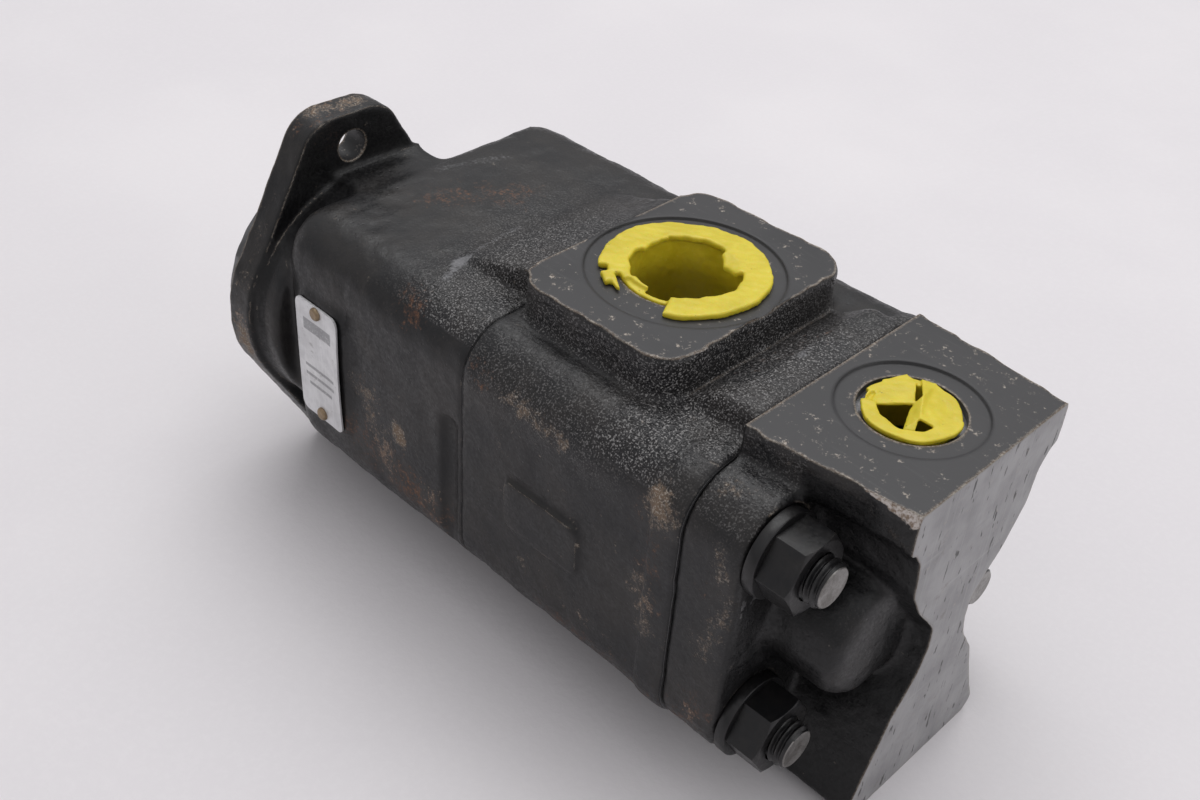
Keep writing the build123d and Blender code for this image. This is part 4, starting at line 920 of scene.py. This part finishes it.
def rear_casting():
    fillers = [
        core(JOINT_2_X - PUSH, PLATE_REAR_X - 2.5),
        port_cut(OUTLET_X, OUTLET_SPOT_R + 0.6, 34.0, OUTLET_Z + PUSH, 96),
        port_cut(OUTLET_X, OUTLET_BORE_R + 0.6, 10.0, OUTLET_Z, 96),
        gallery_piece(0.5, -37.0, 20.0),
    ]
    planes = [(0, JOINT_2_X, -PUSH), (0, REAR_X, PUSH), (2, OUTLET_Z, PUSH)]
    data = rough_casting("rear_cover", planes, fillers)
    co = coords(data)
    x, y, z = co.T
    passes = np.full(len(co), 9)
    passes[(x > PLATE_REAR_X - 2) & (z < 44)] = 34
    passes[(x > REAR_X - 2.5) & (z < 44)] = 6
    passes[z > 50] = 3
    co = relax(co, data, passes)
    set_coords(data, co)
    n = normals(data)
    co = joint_edge(texture(co, n, np.where(x > PLATE_REAR_X, 0.0, 0.3)), n, JOINT_2_X)
    co = draw_edge(co, n, OUTLET_Z)
    set_coords(data, co)
    cuts = [
        across(JOINT_2_X - FAR, JOINT_2_X),
        across(REAR_X, REAR_X + FAR),
        above(100, OUTLET_Z),
        port_cut(OUTLET_X, OUTLET_SPOT_R, OUTLET_Z - SPOT_DEPTH, OUTLET_Z + FAR, 160),
        port_cut(OUTLET_X, OUTLET_MOUTH_R, OUTLET_Z - OUTLET_MOUTH_DEPTH, OUTLET_Z + FAR, 128),
        port_cut(OUTLET_X, OUTLET_BORE_R, OUTLET_FLOOR_Z, OUTLET_Z + FAR, 96),
        gallery_piece(0.0, -PASSAGE_HIGH, OUTLET_FLOOR_Z + 4),
        passage(JOINT_2_X - 1, OUTLET_X, -PASSAGE_HIGH, -PASSAGE_LOW),
        round_cuts(STUDS, STUD_HOLE_R, JOINT_2_X - 1, PLATE_REAR_X + 3),
        round_cuts(STUDS, SPOT_R, PLATE_REAR_X, REAR_X + 2),
        round_cuts(DOWELS, DOWEL_HOLE_R, JOINT_2_X - 1, JOINT_2_X + DOWEL_DEPTH, 32),
    ]
    data = subtract(data, cuts)
    co = coords(data)
    x, _, z = co.T
    corner = near(co, [(232, -12, OUTLET_Z), (244.5, -12.5, OUTLET_Z - 1)], 6)
    bare_corner = 1.1 * near(co, [(237, -12.4, OUTLET_Z - 0.5), (243, -12.4, OUTLET_Z - 2.5)], 2.6)
    # Painted shade in the nut recesses and on the sides behind the plate, below the outlet face; the lit boss
    # between them gets less of it.
    boss = near(co, [(235, -12, 16), (234, -12, -12)], 9)
    paint(
        data,
        grain=np.where((x < PLATE_REAR_X) & (z > 38), 0.3, 0.06),
        chipped=top_band(z, OUTLET_Z) * (0.22 + 0.6 * corner) + bare_corner,
        rust=spots(co, REAR_RUST),
        dirt=spots(co, REAR_DIRT),
        soot=((x > PLATE_REAR_X - 1) & (z < 51)) * np.clip(1.15 - 0.9 * boss, 0, 1),
        scuff=spots(co, [(0.35, 3, [(213, -30, 12), (213, -30, -10)])]),
    )

    def in_gallery(c, n):
        limits = np.array([GALLERY_HALF_X, GALLERY_HALF_Y, PASSAGE_HIGH]) + 0.05
        return (np.abs(c - (OUTLET_X, MID_Y, 0.0)) < limits).all(1)

    machined_index(data, [
        (1, on_plane(2, OUTLET_Z, 1)), (1, on_plane(2, OUTLET_Z - SPOT_DEPTH, 1)),
        (1, in_port(OUTLET_X, OUTLET_SPOT_R, OUTLET_Z - SPOT_DEPTH - 0.02)), (3, on_plane(0, REAR_X, 1)),
        (2, in_port(OUTLET_X, OUTLET_MOUTH_R, OUTLET_FLOOR_Z - 1)), (2, in_gallery),
        (2, on_plane(0, JOINT_2_X, -1)),
        (2, lambda c, n: (c[:, 0] < PLATE_REAR_X - 0.1) & inside_case(c, n)),
    ])
    materials = [CAST, MILLED, BORED, GROUND]
    return finish_mesh("rear_cover_casting", data, "casing", ["rear_cover"], materials)


front_casting()
centre_casting()
rear_casting()


# ---- tie studs with rolled threads ----
def stud_rows():
    """Stations along a stud: plain shank in front, close rows where the thread shows."""
    rows = [STUD_FRONT_X, STUD_FRONT_X + 1.0, *np.linspace(STUD_FRONT_X + 2, THREAD_X - 1, 12)]
    return rows + list(np.arange(THREAD_X, STUD_REAR_X + 1e-6, 0.25))


def threaded_stud(cy, cz, turn, count=56, pitch=2.0, depth=1.1):
    chamfer, recess, rows, verts, faces = 1.4, (0.25, 2.2), stud_rows(), [], []
    for x in rows:
        for i in range(count):
            a = 2 * pi * i / count
            radius = STUD_R
            if x >= THREAD_X:
                f = ((x - THREAD_X) / pitch - i / count + turn) % 1.0
                groove = min(1.0, max(0.0, (1.0 - abs(2 * f - 1.0)) * 1.35 - 0.12))
                radius -= depth * groove * min(1.0, (x - THREAD_X) / 1.5)
                radius = min(radius, STUD_R - chamfer + (STUD_REAR_X - x))
            elif x == rows[0]:
                radius -= 1.0
            verts.append((x, cy + radius * cos(a), cz + radius * sin(a)))
    last = len(rows) - 1
    for r in range(last):
        for i in range(count):
            j = (i + 1) % count
            faces.append((r * count + i, r * count + j, (r + 1) * count + j, (r + 1) * count + i))
    faces.append(tuple(range(count)))
    centre = len(verts)
    inner = [centre + i for i in range(count)]
    verts += [(STUD_REAR_X - recess[0], y, z) for y, z in circle(recess[1], cy, cz, count)]
    for i in range(count):
        j = (i + 1) % count
        faces.append((last * count + i, last * count + j, inner[j], inner[i]))
    faces.append(tuple(inner))
    return verts, faces


def tie_studs():
    verts, faces = joined(*[threaded_stud(y, z, 0.23 * k) for k, (y, z) in enumerate(STUDS)])
    data = mesh_of("tie_studs", verts, faces)
    machined_index(data, [(1, lambda c, n: (c[:, 0] > STUD_REAR_X - 0.4) & (n[:, 0] > 0.6))])
    materials = [BLACK, BARE]
    return finish_mesh("threaded_tie_studs", data, "casing", ["tie_studs"], materials, 40.0)


tie_studs()


# ---- port plugs, torn open ----
def polar(points, centre):
    """Places (angle, radius) points round a centre."""
    return [(centre[0] + r * cos(a), centre[1] + r * sin(a)) for a, r in points]


def polar_sheet(present, low, high, r_range, centre, count=240, rings=150):
    """Small closed wedges wherever present(angle in degrees, radius) says so; a remesh joins them."""
    pieces = []
    radii = np.linspace(*r_range, rings + 1)
    for i in range(count):
        a0, a1 = 2 * pi * i / count, 2 * pi * (i + 1) / count
        middle = ((np.degrees((a0 + a1) / 2) + 180) % 360) - 180
        run = None
        for k in range(rings + 1):
            here = k < rings and present(middle, (radii[k] + radii[k + 1]) / 2)
            if here and run is None:
                run = radii[k]
            if not here and run is not None:
                end, start, run = radii[k] + 0.02, run - 0.02, None
                left, right = a0 - 0.004, a1 + 0.004
                corners = [(left, start), (right, start), (right, end), (left, end)]
                pieces.append(prism(polar(corners, centre), "z", low, high))
    return joined(*pieces)


def tube(outer, inner, low, high, centre, count=96):
    ring = [(outer, low), (outer, high), (inner, high), (inner, low)]
    verts, faces = [], []
    for r, z in ring:
        verts += [(x, y, z) for x, y in circle(r, *centre, count)]
    for k in range(4):
        for i in range(count):
            j, m = (i + 1) % count, (k + 1) % 4
            faces.append((k * count + i, k * count + j, m * count + j, m * count + i))
    return verts, faces


def moulded(name, pieces, size, passes, wobble):
    """Plastic pieces melted into one skin, smoothed and made slightly uneven."""
    verts, faces = joined(*pieces)
    data = voxelled(name, raw_mesh(name, verts, faces), size)
    co = relax(coords(data), data, np.full(len(data.vertices), passes))
    set_coords(data, co)
    co += normals(data) * (wobble * field(co, 3.2, 21) + wobble * field(co, 7.0, 22))[:, None]
    set_coords(data, co)
    return data


def inlet_present(angle, r):
    """What is left of the inlet plug's flange and membrane, by angle round the port and radius."""
    inner = 16.6 + 0.45 * sin(radians(angle * 3 + 20)) + 0.35 * sin(radians(angle * 7 + 80))
    inner += 0.22 * sin(radians(angle * 17))
    if 40 < angle < 84:
        inner = min(inner, 11.8 + abs(angle - 62) * 0.11)
    if 150 < angle or angle < -172:
        inner -= 1.2
    outer = 25.1 + 0.25 * sin(radians(angle * 5)) + 0.15 * sin(radians(angle * 13 + 40))
    if -112 < angle < -63:
        return 15.8 < r < 17.6 - (angle + 112) * 0.035 and angle < -88
    if -134 < angle <= -112:
        tongue_gap = 19.6 < r < 21.4 and angle > -122
        notch = r > 22.6 and angle < -124
        return inner < r < outer and not tongue_gap and not notch
    return inner < r < outer


def inlet_tongue(centre, low, high):
    """The strip torn half away at the near side."""
    points = [
        (-124, 21.5), (-116, 21.3), (-108, 21.9), (-101, 23.0), (-104, 23.5), (-112, 23.3), (-124, 23.6),
    ]
    return prism(polar([(radians(a), r) for a, r in points], centre), "z", low, high)


def inlet_plug():
    centre, seat = (INLET_X, MID_Y), INLET_Z - SPOT_DEPTH
    pieces = [
        polar_sheet(inlet_present, seat + 0.05, seat + 1.95, (10.5, 25.9), centre),
        inlet_tongue(centre, seat + 0.3, seat + 1.6),
        tube(19.2, 17.5, seat - 23.9, seat + 0.6, centre),
    ]
    data = moulded("inlet_plug", pieces, 0.38, 5, 0.045)
    co = coords(data)
    r = np.hypot(co[:, 0] - INLET_X, co[:, 1] - MID_Y)
    angle = np.degrees(np.arctan2(co[:, 1] - MID_Y, co[:, 0] - INLET_X))
    on_top = co[:, 2] > seat + 0.2
    flap = on_top & (r < 16.0) & (angle > 36) & (angle < 88)
    co[flap, 2] -= (16.0 - r[flap]) * 0.35
    rise = (0.25 * np.sin(np.radians(angle * 2 + 40)) + 0.1) * ((r - 16) / 9).clip(0, 1)
    flange = (r < 29) & on_top
    co[flange, 2] += rise[flange]
    set_coords(data, co)
    return finish_mesh("inlet_plug_torn", data, "casing", ["inlet_plug"], [YELLOW], 60.0)


def sheet_piece(corners, thickness):
    """A thin plate on three or more corners in space, thickened downward."""
    n = len(corners)
    verts = [tuple(c) for c in corners] + [(c[0], c[1], c[2] - thickness) for c in corners]
    faces = [tuple(range(n)), tuple(range(n, 2 * n))[::-1]]
    faces += [(i, i + n, (i + 1) % n + n, (i + 1) % n) for i in range(n)]
    return verts, faces


def outlet_present(angle, r):
    wave = 0.3 * sin(radians(angle * 4)) + 0.25 * sin(radians(angle * 9 + 60))
    outer = 13.5 + 0.25 * sin(radians(angle * 6 + 30))
    if -172 < angle < -150:
        return 11.6 + wave < r < outer - 1.2
    if -150 <= angle < 25:
        return 9.3 + wave < r < outer
    return 10.4 < r < outer - 0.4


def outlet_plug():
    centre, seat = (OUTLET_X, MID_Y), OUTLET_Z - 2 * SPOT_DEPTH
    left = [
        (209.2, 15.6, 54.6), (205.4, 26.5, 55.0), (208.4, 33.4, 55.2), (212.6, 31.6, 55.6),
        (217.6, 24.0, 55.4), (215.2, 22.3, 55.0),
    ]
    right = [
        (212.9, 33.6, 55.9), (216.2, 35.9, 55.2), (223.6, 34.0, 54.7), (229.6, 26.6, 54.4),
        (228.4, 20.4, 54.8), (222.6, 18.6, 56.2), (218.2, 26.0, 57.0),
    ]
    fold = [
        (217.6, 26.2, 56.6), (222.2, 18.6, 55.9), (223.6, 15.4, 54.2), (220.8, 14.2, 53.6),
        (217.4, 22.2, 54.2),
    ]
    curl = [(209.0, 31.0, 55.0), (216.0, 35.4, 55.0), (215.5, 33.8, 54.0), (210.0, 30.0, 54.0)]
    pieces = [
        polar_sheet(outlet_present, seat + 0.05, seat + 1.5, (8.6, 14.2), centre, 180, 110),
        tube(12.1, 10.5, seat - 12.9, seat + 0.6, centre),
        sheet_piece(left, 1.0), sheet_piece(right, 1.0), sheet_piece(fold, 1.0),
        sheet_piece(curl, 1.2),
    ]
    data = moulded("outlet_plug", pieces, 0.3, 3, 0.03)
    return finish_mesh("outlet_plug_torn", data, "casing", ["outlet_plug"], [YELLOW], 50.0)


inlet_plug()
outlet_plug()


# ---- nameplate, slightly bowed, with a rolled border ----
def nameplate():
    columns, rows, thickness = 26, 50, 0.7
    half_w, half_h, corner = PLATE_WIDTH / 2, PLATE_HEIGHT / 2, 3.0

    def surface(u, v):
        """A plate point for u, v in -1..1: squared off, with its corners cut round."""
        x, z = u * half_w, v * half_h
        over_x, over_z = max(0.0, abs(x) - (half_w - corner)), max(0.0, abs(z) - (half_h - corner))
        reach = (over_x**2 + over_z**2) ** 0.5
        if reach > corner:
            shrink = corner / reach
            x = (half_w - corner + over_x * shrink) * (1 if x > 0 else -1)
            z = (half_h - corner + over_z * shrink) * (1 if z > 0 else -1)
        edge = min(half_w - abs(x), half_h - abs(z))
        border = 0.12 if 0.9 < edge < 1.7 else 0.0
        lift = 0.9 * max(0.0, u) ** 3 * (0.4 + 0.6 * cos(v * 1.4)) + 0.12 * (1 - v * v)
        return x, z, lift + border

    verts, faces = [], []
    for layer in (thickness, 0.0):
        for r in range(rows + 1):
            for c in range(columns + 1):
                x, z, lift = surface(2 * c / columns - 1, 2 * r / rows - 1)
                verts.append((PLATE_X + x, PLATE_Y - 0.05 - lift - layer, PLATE_Z + z))
    width, layer_size = columns + 1, (columns + 1) * (rows + 1)
    for r in range(rows):
        for c in range(columns):
            a = r * width + c
            quad = (a, a + 1, a + width + 1, a + width)
            faces += [quad, tuple(i + layer_size for i in reversed(quad))]
    rim = list(range(width)) + [r * width + columns for r in range(1, rows + 1)]
    rim += [rows * width + c for c in range(columns - 1, -1, -1)]
    rim += [r * width for r in range(rows - 1, 0, -1)]
    for a, b in zip(rim, rim[1:] + rim[:1]):
        faces.append((a, a + layer_size, b + layer_size, b))
    data = mesh_of("nameplate", verts, faces)
    data = subtract(data, rivet_pieces(RIVET_HOLE_R + 0.1, PLATE_Y - 6, PLATE_Y + 3, 32))
    return finish_mesh("nameplate_bowed", data, "casing", ["nameplate"], [PLATE], 40.0)


nameplate()

# ---- CAD nodes that keep their shape: a material, and a fine bevel on nuts and washers ----
CAD_MATERIALS = dict.fromkeys(("stud_nuts", "stud_washers"), BLACK)
CAD_MATERIALS.update(dict.fromkeys(("seal_spring", "seal_retaining_ring"), SPRING))
CAD_MATERIALS["nameplate_rivets"] = BRASS
for name in NODES:
    if name.endswith(("_shaft", "_coupling", "_gear", "_pins")):
        CAD_MATERIALS[name] = STEEL
for name, obj in NODES.items():
    material = CAD_MATERIALS.get(name)
    if name.endswith("bearing_block"):
        material = ALLOY
    elif name.endswith("bush"):
        material = BRONZE
    elif name.endswith("seal"):
        material = RUBBER
    if material is None:
        continue
    obj.data.materials.clear()
    obj.data.materials.append(material)
    if name in ("stud_nuts", "stud_washers"):
        weld = obj.modifiers.new("weld", "WELD")
        weld.merge_threshold = 1e-6
        bevel = obj.modifiers.new("broken_edges", "BEVEL")
        bevel.width, bevel.segments, bevel.limit_method = 0.35 * MM, 2, "ANGLE"
        bevel.angle_limit = radians(25)
        bevel.harden_normals = True

# ---- floor, light and camera ----
FLOOR_FRONT, FLOOR_REAR = (5.5, -65.3), (244.5, -64.1)


def floor():
    slope = (FLOOR_REAR[1] - FLOOR_FRONT[1]) / (FLOOR_REAR[0] - FLOOR_FRONT[0])
    size, count = 3000.0, 8
    verts, faces, width = [], [], count + 1
    for r in range(width):
        for c in range(width):
            x, y = (2 * c / count - 1) * size, (2 * r / count - 1) * size
            verts.append((x * MM, y * MM, (FLOOR_FRONT[1] + slope * (x - FLOOR_FRONT[0])) * MM))
    for r in range(count):
        for c in range(count):
            a = r * width + c
            faces.append((a, a + 1, a + width + 1, a + width))
    data = raw_mesh("floor", verts, faces)
    s = Shader("floor_foam")
    broad, fine = s.noise(180, 3), s.noise(2.2, 3, 0.6)
    base = s.mix(s.step(broad, 0.35, 0.7), (0.76, 0.735, 0.755), (0.80, 0.775, 0.79))
    base = s.mix(s.times(s.step(fine, 0.4, 0.7), 0.10), base, (0.90, 0.88, 0.89))
    lift = s.plus(fine, s.noise(14, 2))
    s.set(Base_Color=base, Roughness=0.62, Normal=s.bump(lift, 0.25, 0.35))
    data.materials.append(s.material)
    obj = thing("floor", data)


def area_light(name, place, target, size, power):
    lamp = bpy.data.lights.new(name, "AREA")
    lamp.shape, (lamp.size, lamp.size_y), lamp.energy = "RECTANGLE", size, power
    obj = thing(name, lamp)
    obj.location = place
    obj.rotation_euler = (Vector(target) - Vector(place)).to_track_quat("-Z", "Y").to_euler()


def camera():
    """The photograph's viewing angle: azimuth, elevation and roll about the line of sight."""
    az, el, roll = radians(42.15), radians(37.52), radians(4.38)
    back = Vector((sin(az) * cos(el), -cos(az) * cos(el), sin(el)))
    level = Vector((cos(az), sin(az), 0.0))
    upright = back.cross(level)
    right = cos(roll) * level + sin(roll) * upright
    up = -sin(roll) * level + cos(roll) * upright
    data = bpy.data.cameras.new("camera")
    data.sensor_width, data.sensor_fit, data.lens, data.clip_start = 36.0, "HORIZONTAL", 41.91, 0.01
    obj = thing("camera", data)
    turn = Matrix((right, up, back)).transposed().to_4x4()
    obj.matrix_world = Matrix.Translation(Vector((0.35218, -0.24638, 0.27178))) @ turn
    bpy.context.scene.camera = obj


floor()
area_light("key", (-0.35, 0.55, 1.5), (0.1, 0.0, 0.0), (1.6, 1.2), 13.0)
area_light("side", (1.5, 0.5, 0.7), (0.2, 0.0, 0.0), (0.9, 0.8), 3.0)
world = bpy.data.worlds.new("world")
bpy.context.scene.world = world
world.use_nodes = True
sky = world.node_tree.nodes["Background"]
sky.inputs[0].default_value = (0.95, 0.94, 0.96, 1.0)
direction = world.node_tree.nodes.new("ShaderNodeTexCoord")
height = world.node_tree.nodes.new("ShaderNodeSeparateXYZ")
rise = world.node_tree.nodes.new("ShaderNodeMapRange")
rise.inputs["From Min"].default_value, rise.inputs["From Max"].default_value = 0.0, 0.85
rise.inputs["To Min"].default_value, rise.inputs["To Max"].default_value = 0.30, 0.74
world.node_tree.links.new(direction.outputs["Generated"], height.inputs[0])
world.node_tree.links.new(height.outputs[2], rise.inputs["Value"])
world.node_tree.links.new(rise.outputs[0], sky.inputs[1])
bpy.context.scene.view_settings.view_transform = "Standard"
camera()
